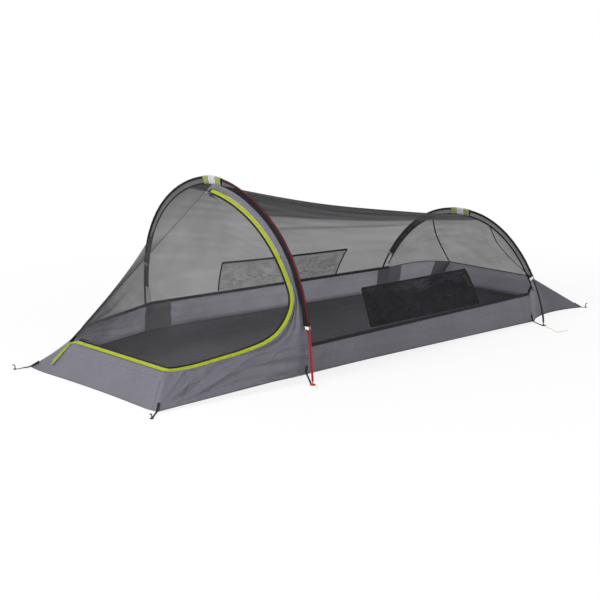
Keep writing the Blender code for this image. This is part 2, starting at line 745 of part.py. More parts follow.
class ZipLine:
    """The line of the zip on the near front surface, with the directions across and out of it."""

    def __init__(self, patch):
        self.patch = patch
        rows, columns = patch.shape[0] - 1, patch.shape[1] - 1
        setback = ZIP_GAP / 2 + TAPE_WIDTH + SEAM
        self.places = []
        for part in np.linspace(ZIP_START, 1.0, ZIP_ARCH_POINTS):
            turn = max(0.0, (part - ZIP_TURN) / (1 - ZIP_TURN)) ** ZIP_TURN_POWER
            column = ZIP_FROM_HOOP * (1 - turn) + ZIP_MEETS_TUB * turn
            row = min(part * rows, rows - self.share(rows, column * columns, setback))
            self.places.append((row, column * columns))
        self.down_count = len(self.places)
        for part in np.linspace(ZIP_MEETS_TUB, 1.0, ZIP_TUB_POINTS + 2)[1:-1]:
            column = part * columns
            self.places.append((rows - self.share(rows, column, setback), column))
        points = [read_grid(patch, *place) for place in self.places]
        middle = rows / 2
        outer = read_grid(patch, middle, columns)
        uphill = read_grid(patch, middle, columns - 1) - outer
        self.uphill = unit(uphill * np.array([1.0, 0.0, 1.0]))
        corner = tub_corner("head_top", -1) + self.uphill * setback
        corner[1] += setback * ZIP_CORNER_SHARE
        self.head_start = corner
        self.head_end = mirrored(corner, -1) - np.array([0.0, ZIP_END, 0.0])
        head = even_points([self.head_start, self.head_end], ZIP_HEAD_POINTS)
        points += list(head)
        inner = columns - setback / float(np.linalg.norm(uphill))
        last = 1 - (ZIP_END + setback) / (2 * HEAD_TOP_HALF_WIDTH)
        shares = np.linspace(ZIP_HEAD_START_SHARE, last, ZIP_HEAD_POINTS)
        self.places += [(rows * (1 - part), inner) for part in shares]
        self.points = np.array(points)
        self.across = self.across_directions()
        self.out = self.out_directions()
        turned = np.cross(self.out, unit(np.gradient(self.points, axis=0)))
        self.hand = 1.0 if np.einsum("ij,ij->", turned, self.across) > 0 else -1.0

    def share(self, rows, column, distance):
        step = np.linalg.norm(read_grid(self.patch, rows, column) - read_grid(self.patch, rows - 1, column))
        return distance / step

    def across_directions(self):
        """Towards the middle of the door, from each point of the zip."""
        middle = read_grid(self.patch, (self.patch.shape[0] - 1) * 0.5, (self.patch.shape[1] - 1) * 0.5)
        return unit(middle - self.points)

    def out_directions(self):
        """Outward normals of the cloth at each point of the zip."""
        along = unit(np.gradient(self.points, axis=0))
        normals = unit(np.cross(along, self.across))
        flat = unit(np.cross(np.array([0.0, 1.0, 0.0]), self.uphill))
        if flat[2] < 0:
            flat = -flat
        normals[np.einsum("ij,j->i", normals, flat) < 0] *= -1
        normals[-ZIP_HEAD_POINTS:] = flat
        return normals

    def offset(self, distance):
        """The zip's line moved across, towards the door when positive."""
        along = unit(np.diff(self.points, axis=0))
        sides = unit(np.cross(self.out[1:] + self.out[:-1], along)) * self.hand
        moved = self.points.copy()
        for index in range(len(moved)):
            first = sides[max(index - 1, 0)]
            second = sides[min(index, len(sides) - 1)]
            middle = unit(first + second)
            moved[index] += middle * distance / max(float(middle @ first), 0.6)
        return moved


def make_tape(name, inner, outer):
    faces = grid_faces(2, len(inner))
    add_cloth(name, np.array([inner, outer]), faces, "lime_trim", TAPE_THICKNESS, 0.0)


def make_door_and_zip():
    patch = front_patch_grid()
    zip_line = ZipLine(patch)
    edge = ZIP_GAP / 2 + TAPE_WIDTH
    make_tape("frame_zip_tape", zip_line.offset(-ZIP_GAP / 2), zip_line.offset(-edge))
    make_tape("door_zip_tape", zip_line.offset(ZIP_GAP / 2), zip_line.offset(edge))
    rows, columns = patch.shape[0] - 1, patch.shape[1] - 1
    door_edge = zip_line.offset(edge)
    door_inner = zip_line.offset(edge + DOOR_HEM)
    count = len(door_edge)
    door = []
    for number, (row, column) in enumerate(zip_line.places):
        first, last = DOOR_SEAM_SHARES
        seam_column = columns * (first + (last - first) * number / (count - 1))
        line = [door_edge[number], door_inner[number]]
        for part in DOOR_ROW_SHARES:
            line.append(read_grid(patch, row * (1 - part), column * (1 - part) + seam_column * part))
        door.append(line)
    add_grid_cloth("door_panel", np.array(door), "black_net", NET)
    panel_edge = zip_line.offset(-edge)[: zip_line.down_count]
    top_column = columns * PANEL_TOP
    panel = [[read_grid(patch, 0.0, top_column * part) for part in (*PANEL_ROW_SHARES, 1.0)]]
    for number in range(zip_line.down_count):
        row, column = zip_line.places[number]
        line = [read_grid(patch, row, column * part) for part in PANEL_ROW_SHARES]
        panel.append([*line, panel_edge[number]])
    last_column = zip_line.places[zip_line.down_count - 1][1]
    ends = (*PANEL_ROW_SHARES, PANEL_END_SHARE)
    panel.append([read_grid(patch, rows, last_column * part) for part in ends])
    add_grid_cloth("side_panel_near", np.array(panel), "grey_fabric", NET)
    make_zip_tail()
    make_slider(zip_line)


def make_zip_tail():
    """Loose end of the zip, sewn flat on the head wall below the far corner."""
    top = tub_corner("head_top", 1)
    bottom = tub_corner("head_edge", 1)
    left = tub_corner("head_top", -1) - top
    down = unit(bottom - top)
    outward = unit(np.cross(left, down))
    if outward[0] > 0:
        outward = -outward
    inward = unit(left)
    start = top + inward * TAIL_WIDTH + down * TAPE_WIDTH + outward * (FABRIC / 2 + FIT + TAPE_THICKNESS / 2)
    corners = [start, start + down * TAIL_LENGTH]
    grid = np.array([corners, [point + inward * TAIL_WIDTH for point in corners]])
    add_grid_cloth("zip_tail", grid, "lime_trim", TAPE_THICKNESS, 0.0)


def slider_frame(zip_line):
    centre = zip_line.head_end + np.array([0.0, -SLIDER_FROM_CORNER, 0.0])
    out = zip_line.out[-1]
    return centre, np.array([0.0, 1.0, 0.0]), zip_line.uphill, out


def make_slider(zip_line):
    centre, along, across, out = slider_frame(zip_line)
    near = TAPE_THICKNESS / 2 + FIT
    far = near + SLIDER_PLATE
    columns = [-SLIDER_WIDTH / 2, -SLIDER_POST / 2, SLIDER_POST / 2, SLIDER_WIDTH / 2]
    outline = [(a, b) for b in (-far, -near, near, far) for a in columns]
    faces = [face for number, face in enumerate(grid_faces(4, 4)) if number not in (3, 5)]
    layers = [
        np.array([centre + along * s + across * a + out * b for a, b in outline])
        for s in (-SLIDER_LENGTH / 2, SLIDER_LENGTH / 2)
    ]
    add_mesh("zip_slider", *stacked(layers, faces), "bare_metal")
    eye_outer = PULLER_PIN + FIT + PULLER_THICKNESS
    height = far + FIT + eye_outer
    half = PULLER_WIDTH / 2 + FIT + PULLER_PIN
    low = far + FIT
    pin_route = [(-half, low), (-half, height), (half, height), (half, low)]
    pin = [centre + across * a + out * b for a, b in pin_route]
    add_wire("zip_bridge", pin, PULLER_PIN, "bare_metal")
    eye, faces = ring_and_arm(eye_outer, PULLER_PIN + FIT, [PULLER_LENGTH], PULLER_THICKNESS)
    layers = [
        np.array([centre + out * (height + b) + along * a + across * s for a, b in eye])
        for s in (-PULLER_WIDTH / 2, PULLER_WIDTH / 2)
    ]
    add_mesh("zip_puller", *stacked(layers, faces), "lime_trim")


def add_wire(name, route, radius, colour, resolution=2):
    curve = bpy.data.curves.new(name, "CURVE")
    curve.dimensions = "3D"
    curve.bevel_depth = radius
    curve.bevel_resolution = resolution
    curve.use_fill_caps = True
    spline = curve.splines.new("POLY")
    spline.points.add(len(route) - 1)
    for point, place in zip(spline.points, route):
        point.co = (*(float(c) for c in place), 1.0)
    obj = bpy.data.objects.new(name, curve)
    bpy.context.scene.collection.objects.link(obj)
    give_material(obj, colour)
    return obj


def make_pocket(canopy, side, side_name):
    """A flat net pocket hung inside the middle canopy, its foot on the tub's edge."""
    rows, columns = canopy.shape[0] - 1, canopy.shape[1] - 1
    inward = np.array([0.0, -side, 0.0])
    grid = []
    tops = np.linspace(*POCKET_TOP[0 if side < 0 else 1], 7)
    for along, top in zip(np.linspace(*POCKET_ALONG, 7), tops):
        line = []
        for number, up in enumerate(np.linspace(POCKET_FOOT, top, 5)):
            column = up * columns if side < 0 else columns - up * columns
            hang = (NET + 2 * FIT) / 2 + FIT + POCKET_DROP * number / 4
            line.append(read_grid(canopy, along * rows, column) + inward * hang)
        grid.append(line)
    add_grid_cloth(f"pocket_{side_name}", np.array(grid), "black_net", NET, 0.0)


def make_strap(kind, side, side_name):
    """Webbing from the tub's wall down to a ring on the ground that holds the pole's foot."""
    hoop = HOOPS[kind]
    foot = np.array([hoop.foot[0], (hoop.stations[-1] if side > 0 else hoop.stations[0])[1], WEBBING / 2])
    edge = tub_corner(f"{kind}_edge", side)
    top = tub_corner(f"{kind}_top", side)
    up_wall = unit((top - edge) * np.array([0.0, 1.0, 1.0]))
    outward = np.array([0.0, side * up_wall[2], -side * up_wall[1]])
    clear = outward * (FABRIC / 2 + FIT + WEBBING / 2)
    low = edge + clear
    low[0] = foot[0]
    ring_end = foot + np.array([0.0, -side * STRAP_RING_OUTER, 0.0])
    route = np.array([ring_end, low, low + up_wall * STRAP_UP_WALL])
    along = np.array([1.0, 0.0, 0.0])
    steps = np.linalg.norm(np.diff(route, axis=0), axis=1)
    ends = STRAP_RING_OUTER + np.cumsum(steps)
    outline, faces = ring_and_arm(STRAP_RING_OUTER, STRAP_RING_INNER, list(ends), STRAP_WIDTH, 12)
    directions = unit(np.diff(route, axis=0))
    middle = []
    lift = []
    for a, b in outline:
        if a <= STRAP_RING_OUTER:
            middle.append(foot + np.array([b, -side * a, 0.0]))
            lift.append(np.array([0.0, 0.0, 1.0]))
            continue
        number = int(np.argmin(np.abs(ends - a)))
        middle.append(route[number + 1] + along * b)
        before = directions[number]
        after = directions[min(number + 1, len(directions) - 1)]
        normal = unit(np.cross(before + after, along))
        if normal @ np.array([0.0, side, 1.0]) < 0:
            normal = -normal
        lift.append(normal / max(float(normal @ unit(np.cross(along, before))) ** 2, 0.5) ** 0.5)
    middle = np.array(middle)
    half = np.array(lift) * WEBBING / 2
    add_mesh(f"{kind}_strap_{side_name}", *stacked([middle - half, middle + half], faces), "red_webbing")


def tab_centre(end, side):
    if end == "head":
        return np.array([-LENGTH / 2 + TAB_RING_OUTER, side * TAB_HALF_WIDTH["head"], 0.0])
    return np.array([LENGTH / 2 - TAB_RING_OUTER, side * TAB_HALF_WIDTH["foot"], 0.0])


def make_tab(end, side, side_name):
    """Corner tab with a ring for the peg."""
    centre = tab_centre(end, side)
    corner = tub_corner(f"{end}_edge", side)
    reach = corner - centre
    reach[2] = 0.0
    length = float(np.linalg.norm(reach)) + TAB_PAST_CORNER[end]
    direction = unit(reach)
    across = np.array([-direction[1], direction[0], 0.0])
    outline, faces = ring_and_arm(TAB_RING_OUTER, TAB_RING_INNER, [length], TAB_WIDTH, 12)
    layers = []
    for height in (0.0, WEBBING):
        layer = []
        for a, b in outline:
            rise = max(0.0, corner[2] - FABRIC) * max(0.0, a / length) ** 2
            layer.append(centre + direction * a + across * b + np.array([0.0, 0.0, height + rise]))
        layers.append(np.array(layer))
    add_mesh(f"{end}_tab_{side_name}", *stacked(layers, faces), "grey_fabric")


def make_peg(end, side, side_name):
    """Head of a wire peg: it stands through the tab's ring and bends over it."""
    centre = tab_centre(end, side)
    outward = unit(np.array([centre[0], centre[1] * 0.5, 0.0]))
    route = [centre + np.array([0.0, 0.0, GROUND_GAP]), centre + np.array([0.0, 0.0, PEG_HEIGHT / 2])]
    for angle in np.radians(range(0, 121, 20)):
        drift = PEG_BEND * (1 - math.cos(angle)) * outward
        route.append(centre + drift + np.array([0.0, 0.0, PEG_HEIGHT + PEG_BEND * math.sin(angle)]))
    add_wire(f"{end}_peg_{side_name}", route, PEG_RADIUS, "black_trim")


def make_lantern_hook():
    top = FRONT.seam_point(HOOP_STEPS // 2) - np.array([0.0, 0.0, NET + 2 * FIT])
    hole = top - np.array([0.0, 0.0, LOOP_DROP])
    outline, faces = ring_and_arm(LOOP_RING_OUTER, LOOP_RING_INNER, [LOOP_DROP], LOOP_WIDTH)
    layers = [
        np.array([hole + np.array([x, b, a]) for a, b in outline])
        for x in (-WEBBING / 2, WEBBING / 2)
    ]
    add_mesh("hook_loop", *stacked(layers, faces), "black_trim")
    behind = WEBBING / 2 + FIT + 2 * HOOK_RADIUS
    route = [(behind, 0.0, 0.0), (-behind, 0.0, 0.0), (-behind - HOOK_RADIUS, 0.0, -HOOK_RADIUS)]
    route.append((-behind - HOOK_RADIUS, 0.0, -HOOK_SHANK))
    for angle in np.radians(range(30, 211, 30)):
        y = HOOK_BEND * (1 - math.cos(angle))
        route.append((-behind - HOOK_RADIUS, y, -HOOK_SHANK - HOOK_BEND * math.sin(angle)))
    add_wire("lantern_hook", [hole + np.array(point) for point in route], HOOK_RADIUS, "black_trim")


def smooth_route(points, spacing):
    """Evenly spaced points of a smooth curve through a route's own points."""
    route = np.array([points[0], *points, points[-1]], float)
    fine = []
    for number in range(len(points) - 1):
        p, q, r, s = route[number : number + 4]
        for t in np.linspace(0.0, 1.0, 12, endpoint=False):
            bend = (2 * p - 5 * q + 4 * r - s) * t**2 + (3 * q - p - 3 * r + s) * t**3
            fine.append(0.5 * (2 * q + (r - p) * t + bend))
    fine.append(route[-1])
    length = float(np.linalg.norm(np.diff(np.array(fine), axis=0), axis=1).sum())
    return even_points(fine, int(length / spacing) + 1)


def make_loose_cords():
    """Lime ends of the tension cords, lying on the ground from the near straps."""
    lie = LOOSE_CORD_RADIUS + GROUND_GAP
    for name, kind, route in (
        ("front_loose_cord", "front", FRONT_CORD),
        ("rear_loose_cord", "rear", REAR_CORD),
    ):
        hoop = HOOPS[kind]
        foot = np.array([hoop.foot[0], hoop.stations[0][1], 0.0])
        points = [foot + np.array([x, y, lie + z]) for x, y, z in route]
        add_wire(name, smooth_route(points, 5 * LOOSE_CORD_RADIUS), LOOSE_CORD_RADIUS, "lime_trim")


def main():
    clear_scene()
    make_hoop_poles("front", FRONT_SECTIONS)
    make_hoop_poles("rear", REAR_SECTIONS)
    for kind in HOOPS:
        make_sleeve(kind)
        make_patch(kind)
        for side_name in ("near", "far"):
            make_clip(kind, side_name)
    floor = floor_grid()
    add_grid_cloth("groundsheet", floor, "floor_fabric", FABRIC, FLOOR_SEAM)
    make_head_wall(floor)
    make_foot_end(floor)
    canopy = middle_canopy_grid()
    add_grid_cloth("middle_canopy", canopy, "black_net", NET)
    add_grid_cloth("far_front_canopy", far_front_grid(), "black_net", NET)
    make_foot_canopy()
    make_door_and_zip()
    for side, side_name in ((-1, "near"), (1, "far")):
        make_side_wall(side, side_name)
        make_foot_side(side, side_name)
        make_pocket(canopy, side, side_name)
        for kind in HOOPS:
            make_strap(kind, side, side_name)
        for end in ("head", "foot"):
            make_tab(end, side, side_name)
            make_peg(end, side, side_name)
    make_lantern_hook()
    make_loose_cords()


main()
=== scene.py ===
"""Looks of the one-person tent: cloth, net, zip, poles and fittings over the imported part.

Metres, in the frame of the part: +X runs from the head to the foot, -Y is the side with the door zip.
"""

import math

import bpy
import numpy as np
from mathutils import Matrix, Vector


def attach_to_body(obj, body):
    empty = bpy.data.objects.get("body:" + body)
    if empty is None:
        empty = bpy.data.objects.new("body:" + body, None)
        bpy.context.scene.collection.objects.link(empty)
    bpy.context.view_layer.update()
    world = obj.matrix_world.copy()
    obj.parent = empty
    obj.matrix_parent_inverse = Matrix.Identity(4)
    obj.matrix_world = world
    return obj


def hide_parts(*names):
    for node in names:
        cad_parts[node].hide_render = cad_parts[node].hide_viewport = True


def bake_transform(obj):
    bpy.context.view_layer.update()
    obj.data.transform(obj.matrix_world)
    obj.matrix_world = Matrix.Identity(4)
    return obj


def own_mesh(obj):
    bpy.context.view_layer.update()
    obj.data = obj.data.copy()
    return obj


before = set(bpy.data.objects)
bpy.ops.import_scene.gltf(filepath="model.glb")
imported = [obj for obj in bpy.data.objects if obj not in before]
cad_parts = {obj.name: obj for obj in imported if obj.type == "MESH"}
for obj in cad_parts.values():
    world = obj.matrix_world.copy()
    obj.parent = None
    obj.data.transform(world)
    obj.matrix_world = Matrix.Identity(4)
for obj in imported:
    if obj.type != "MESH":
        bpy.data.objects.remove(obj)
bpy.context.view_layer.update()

# Camera, floor and light
CAMERA_AT = (-4.0285, -4.1629, 1.4298)
CAMERA_TO = (-0.5524, -0.4179, 0.3083)
LENS = 83.28
SENSOR = 36.0
FLOOR_HALF = 30.0
FLOOR_WHITE_SHARE = 0.86
WHITE = (1.0, 1.0, 1.0)
WORLD_LIGHT = 0.33
LAMP_TARGET = (0.0, 0.0, 0.25)
LAMPS = (
    ("key", (-5.0, -0.2, 3.0), 1.8, 290.0),
    ("fill", (1.2, -4.6, 2.4), 3.0, 120.0),
    ("back", (2.0, 4.0, 3.5), 3.4, 110.0),
)

# Sizes that the part gives
BALL = 0.0040
HOOP_STEPS = 48
HOOP_TOP = HOOP_STEPS // 2
FIRST_SEAM_STEP = 6
LAST_SEAM_STEP = HOOP_STEPS - FIRST_SEAM_STEP
SEAM_DEPTH = 0.024
POLE_START = 0.01935
POLE_RADIUS = 0.00425
SLEEVE_RADIUS = 0.0054
SLEEVE_ENDS = {"front": (0.228, 0.334), "rear": (0.209, 0.209)}
TUB_CORNERS = {
    "head_edge": (-1.226, 0.409, 0.008),
    "head_top": (-1.106, 0.303, 0.106),
    "front_top": (-0.565, 0.493, 0.150),
    "front_edge": (-0.576, 0.477, 0.040),
    "rear_top": (0.826, 0.4245, 0.131),
    "rear_edge": (0.839, 0.450, 0.010),
    "foot_top": (1.062, 0.245, 0.154),
    "foot_edge": (1.262, 0.405, 0.0005),
}
FLOOR_LIFT = 0.00025
WAIST = (1.084, 0.369)
CLOTH = 0.0005
ZIP_SETBACK = 0.0016 / 2 + 0.008 + 0.00048
ZIP_SHARE = 0.036
ZIP_CORNER_SHARE = 0.49
ZIP_REACH = 0.025
ZIP_EDGE = 0.0088
ZIP_POINTS = 4
STRAP_LIFT = 0.0006
PATCH_LIFT = 0.0014
SEWING_LIFT = 0.0012
SIDES = ((-1, "near"), (1, "far"))

# Loose cords, from the near foot of each hoop
CORD_RADIUS = 0.0011
CORD_LIFT = 0.0005
CORDS = {
    "front": ((0.0, -0.0090), (-0.004, -0.024), (-0.016, -0.040), (-0.022, -0.046)),
    "rear": (
        (-0.002, -0.0090),
        (-0.020, -0.040),
        (-0.036, -0.078),
        (-0.058, -0.110),
        (-0.052, -0.122),
        (-0.022, -0.124),
        (0.000, -0.130),
    ),
}


# Materials

MATERIALS = {}


class Tree:
    """Short calls that build one node tree."""

    INPUTS = {
        "colour": "Base Color",
        "rough": "Roughness",
        "metal": "Metallic",
        "gloss": "Specular IOR Level",
        "sheen": "Sheen Weight",
        "sheen_rough": "Sheen Roughness",
        "alpha": "Alpha",
        "through": "Subsurface Weight",
        "reach": "Subsurface Scale",
        "spread": "Subsurface Radius",
    }

    def __init__(self, owner):
        owner.use_nodes = True
        self.nodes = owner.node_tree.nodes
        self.links = owner.node_tree.links
        self.shader = self.nodes.get("Principled BSDF")

    def feed(self, socket, value):
        if isinstance(value, bpy.types.NodeSocket):
            self.links.new(value, socket)
        else:
            socket.default_value = (*value, 1.0) if socket.type == "RGBA" else value

    def node(self, kind, inputs=(), **settings):
        node = self.nodes.new(f"ShaderNode{kind}")
        for key, value in settings.items():
            setattr(node, key, value)
        for socket, value in dict(inputs).items():
            self.feed(node.inputs[socket], value)
        return node

    def add(self, kind, inputs=(), output=0, **settings):
        """One output of a new node."""
        return self.node(kind, inputs, **settings).outputs[output]

    def math(self, operation, a, b, clamp=False):
        return self.add("Math", {0: a, 1: b}, operation=operation, use_clamp=clamp)

    def mix(self, share, a, b):
        """Colour mix of a and b."""
        return self.add("Mix", {0: share, 6: a, 7: b}, 2, data_type="RGBA")

    def ramp(self, value, low, high, to_low=0.0, to_high=1.0):
        inputs = {"Value": value, "From Min": low, "From Max": high, "To Min": to_low, "To Max": to_high}
        return self.add("MapRange", inputs)

    def place(self):
        return self.add("TexCoord", output="Object")

    # The cover attribute: extra density for a net. For cloth with a low colour it is the share of its own
    # colour, and on the inside of the walls the rest is painted shade near the floor and the head.
    def cover(self):
        return self.add("Attribute", output="Fac", attribute_name="cover")

    def noise(self, vector, scale, detail=2.0, rough=0.55, bend=0.0):
        inputs = {"Vector": vector, "Scale": scale, "Detail": detail, "Roughness": rough, "Distortion": bend}
        return self.add("TexNoise", inputs, "Fac")

    def stretched(self, vector, scale):
        return self.add("Mapping", {"Vector": vector, "Scale": scale})

    def threads(self, step):
        """Two waves of threads a step apart, and the cloth's own coordinates in metres."""
        cloth = self.add("Attribute", output="Vector", attribute_name="cloth")
        along = self.node("SeparateXYZ", {0: cloth}).outputs[:2]
        turns = [self.math("MULTIPLY", metres, 2 * math.pi / step) for metres in along]
        return [self.math("SINE", turn, 0.0) for turn in turns], along

    def bump(self, *layers):
        """Bumps one over another from (height, strength, distance)."""
        below = {}
        for height, strength, distance in layers:
            inputs = {"Height": height, "Strength": strength, "Distance": distance, **below}
            below = {"Normal": self.add("Bump", inputs)}
        self.feed(self.shader.inputs["Normal"], below["Normal"])

    def set(self, **values):
        for key, value in values.items():
            self.feed(self.shader.inputs[self.INPUTS[key]], value)


def new_material(name):
    """A tree for a material that is kept under its name, with the place of each point."""
    MATERIALS[name] = bpy.data.materials.new(name)
    tree = Tree(MATERIALS[name])
    return tree, tree.place()


def darker(colour, share):
    return tuple(c * share for c in colour)


def cloth_material(name, dark, light, rough=0.62, sheen=0.12, grid=0.006, wrinkle=0.35, low=None, lit=False):
    """Coated ripstop: a fine weave, a faint grid of thicker threads, soft creases and uneven tone."""
    tree, place = new_material(name)
    waves, along = tree.threads(0.0012)
    weave = tree.math("MULTIPLY", *waves)
    cells = [tree.math("FRACT", tree.math("DIVIDE", metres, grid), 0.0) for metres in along]
    ripstop = tree.math("MAXIMUM", *(tree.math("GREATER_THAN", cell, 0.9) for cell in cells))
    broad = tree.noise(place, 3.2)
    fine = tree.noise(place, 60.0)
    creases = tree.noise(tree.stretched(place, (1.0, 1.0, 1.6)), 9.0, 4.0, 0.6, 1.4)
    tone = tree.math("ADD", tree.math("MULTIPLY", broad, 0.75), tree.math("MULTIPLY", fine, 0.25))
    colour = tree.mix(tree.ramp(tone, 0.3, 0.7), dark, light)
    # Where the cover attribute is small, the colour goes over to the low colour. On the inside of the walls
    # this is painted shade near the floor and the head.
    if low is not None:
        height = tree.math("ADD", tree.cover(), tree.math("MULTIPLY", broad, 0.25))
        colour = tree.mix(tree.ramp(height, 0.12, 0.62), low, colour)
    colour = tree.mix(tree.math("MULTIPLY", ripstop, 0.35), colour, darker(light, 1.16))
    tree.bump((creases, wrinkle, 0.012), (ripstop, 0.12, 0.0004), (weave, 0.10, 0.0003))
    if lit:
        tree.set(through=1.0, reach=0.0025, spread=(1.0, 1.0, 1.0))
    rough = tree.ramp(fine, 0.3, 0.7, rough - 0.07, rough + 0.07)
    tree.set(colour=colour, rough=rough, gloss=0.35, sheen=sheen, sheen_rough=0.4)


def net_material(name, colour, thin, thick, step=0.0022, spread=0.07):
    """See-through net: threads thicken its alpha, and the cloth's own density adds to it."""
    tree, place = new_material(name)
    thread = tree.math("MAXIMUM", *tree.threads(step)[0])
    folds = tree.noise(tree.stretched(place, (0.10, 1.0, 1.0)), 11.0, 2.0, 0.5, 0.4)
    uneven = tree.ramp(folds, 0.35, 0.65, -spread / 2, spread / 2)
    cover = tree.math("ADD", tree.ramp(thread, -1.0, 1.0, thin, thick), uneven)
    cover = tree.math("ADD", cover, tree.cover(), True)
    drape = tree.noise(tree.stretched(place, (0.3, 1.0, 1.0)), 20.0, 3.0)
    tree.bump((drape, 0.2, 0.005), (thread, 0.2, 0.0004))
    tree.set(colour=tree.mix(folds, colour, darker(colour, 1.7)), rough=0.85, gloss=0.08, alpha=cover)


def webbing_material(name, dark, light, step=0.0016, sheen=0.15):
    """Woven tape: ribs across it and slightly uneven dye."""
    tree, place = new_material(name)
    rib = tree.math("MULTIPLY", *tree.threads(step)[0])
    tone = tree.noise(place, 90.0)
    colour = tree.mix(tree.ramp(tone, 0.3, 0.7), dark, light)
    colour = tree.mix(tree.ramp(rib, -1.0, 1.0, 0.0, 0.3), colour, darker(dark, 0.6))
    tree.bump((rib, 0.35, 0.0005), (tone, 0.2, 0.0006))
    tree.set(colour=colour, rough=0.8, gloss=0.2, sheen=sheen, sheen_rough=0.5)


def metal_material(name, colour, worn, rough=0.3):
    """Anodised alloy with faint scratches along it."""
    tree, place = new_material(name)
    scratches = tree.noise(tree.stretched(place, (30.0, 30.0, 4.0)), 22.0, 4.0, 0.7)
    wear = tree.math("MULTIPLY", tree.ramp(scratches, 0.6, 0.75), 0.5)
    tree.bump((scratches, 0.08, 0.0004))
    rough = tree.ramp(scratches, 0.3, 0.7, rough - 0.06, rough + 0.12)
    tree.set(colour=tree.mix(wear, colour, worn), metal=0.75, rough=rough, gloss=0.5)


def plastic_material(name, dark, light):
    """Moulded plastic with a fine grain."""
    tree, place = new_material(name)
    grain = tree.noise(place, 420.0)
    tree.bump((grain, 0.15, 0.0003))
    colour = tree.mix(tree.ramp(grain, 0.35, 0.65), dark, light)
    tree.set(colour=colour, rough=tree.ramp(grain, 0.3, 0.7, 0.37, 0.50), gloss=0.45)


cloth_material("wall", (0.086, 0.084, 0.102), (0.122, 0.119, 0.143), wrinkle=0.8)
# The inside of the walls is much paler than the outside. Part of that is its paler coating; the rest is
# painted light for the light that comes through the thin cloth. Its low colour is painted shade near the
# floor and the head.
cloth_material(
    "wall_inside", (0.60, 0.58, 0.68), (0.70, 0.68, 0.79), 0.5, low=(0.10, 0.098, 0.11), lit=True
)
cloth_material(
    "floor", (0.034, 0.033, 0.039), (0.060, 0.058, 0.067), 0.55, 0.05, 0.008, 0.5, (0.125, 0.123, 0.142)
)
cloth_material("panel", (0.088, 0.085, 0.103), (0.118, 0.114, 0.136), 0.66, 0.12, 0.004, 0.6)
cloth_material("patch", (0.060, 0.058, 0.068), (0.085, 0.083, 0.095), 0.6, 0.1, 0.004)
# Patches sewn inside the walls. They are paler than the outside, as painted light, and darker than the
# inside of the walls, as painted shade where the doubled cloth lets less light through.
cloth_material("inner_patch", (0.19, 0.186, 0.212), (0.26, 0.254, 0.290), 0.6, 0.1, 0.004)
cloth_material("faint_patch", (0.32, 0.313, 0.355), (0.41, 0.400, 0.455), 0.6, 0.1, 0.004)
net_material("net", (0.022, 0.022, 0.024), 0.36, 0.58)
net_material("door_net", (0.030, 0.030, 0.032), 0.34, 0.52)
net_material("pocket_near", (0.003, 0.003, 0.004), 0.84, 0.96, 0.0035, 0.04)
net_material("pocket_far", (0.20, 0.20, 0.205), 0.16, 0.44, 0.0035, 0.05)
net_material("sleeve", (0.010, 0.010, 0.012), 0.42, 0.70, 0.0026, 0.04)
webbing_material("binding", (0.006, 0.006, 0.007), (0.014, 0.014, 0.016), sheen=0.02)
webbing_material("grey_tape", (0.17, 0.17, 0.20), (0.25, 0.25, 0.29))
webbing_material("seam_tape", (0.135, 0.131, 0.156), (0.165, 0.160, 0.188))
webbing_material("lime", (0.29, 0.34, 0.006), (0.37, 0.43, 0.014))
webbing_material("lime_pale", (0.17, 0.20, 0.07), (0.26, 0.30, 0.11))
webbing_material("pale", (0.40, 0.40, 0.41), (0.52, 0.52, 0.53))
webbing_material("red", (0.36, 0.022, 0.014), (0.52, 0.050, 0.030))
metal_material("red_pole", (0.36, 0.016, 0.018), (0.50, 0.10, 0.09))
metal_material("black_pole", (0.014, 0.014, 0.016), (0.08, 0.08, 0.085))
metal_material("alloy", (0.50, 0.50, 0.52), (0.75, 0.75, 0.76), 0.34)
plastic_material("white", (0.66, 0.66, 0.66), (0.78, 0.78, 0.77))
plastic_material("black", (0.010, 0.010, 0.011), (0.020, 0.020, 0.022))
metal_material("steel", (0.020, 0.020, 0.022), (0.10, 0.10, 0.10), 0.42)
webbing_material("cord_white", (0.60, 0.60, 0.58), (0.74, 0.74, 0.72), 0.0012)
webbing_material("cord_lime", (0.46, 0.50, 0.06), (0.62, 0.64, 0.12), 0.0012)


# Shapes


def xyz(x, y, z):
    return np.array([x, y, z], float)


def unit(vectors):
    lengths = np.linalg.norm(vectors, axis=-1, keepdims=True)
    return vectors / np.maximum(lengths, 1e-12)


def tangents_of(route):
    return unit(np.gradient(np.asarray(route, float), axis=0))


def hump(value, width):
    """1 at zero, falling off smoothly over a width."""
    return np.exp(-((value / width) ** 2))


def rising(value, width):
    """0 up to zero, 1 from a width on."""
    return np.clip(value / width, 0.0, 1.0)


def travelled(route):
    """Distance along a route at each of its points."""
    return np.concatenate([[0.0], np.cumsum(np.linalg.norm(np.diff(route, axis=0), axis=1))])


def even_points(route, count, values=None):
    """Points at equal distances along a route, or the values that belong to them."""
    route = np.asarray(route, float)
    values = route if values is None else values
    steps = travelled(route)
    wanted = np.linspace(0.0, steps[-1], count)
    return np.stack([np.interp(wanted, steps, values[:, axis]) for axis in range(3)], axis=1)


def between(low, high, shares):
    return np.array([low * (1 - share) + high * share for share in shares])


def finer(grid, times):
    """A grid with more rows, smooth through the rows that it had."""
    padded = np.concatenate([grid[:1] * 2 - grid[1:2], grid, grid[-1:] * 2 - grid[-2:-1]])
    made = []
    for number in range(len(grid) - 1):
        p, q, r, s = padded[number : number + 4]
        for t in np.linspace(0.0, 1.0, times, endpoint=False):
            bend = (2 * p - 5 * q + 4 * r - s) * t**2 + (3 * q - p - 3 * r + s) * t**3
            made.append(0.5 * (2 * q + (r - p) * t + bend))
    return np.array([*made, grid[-1]])


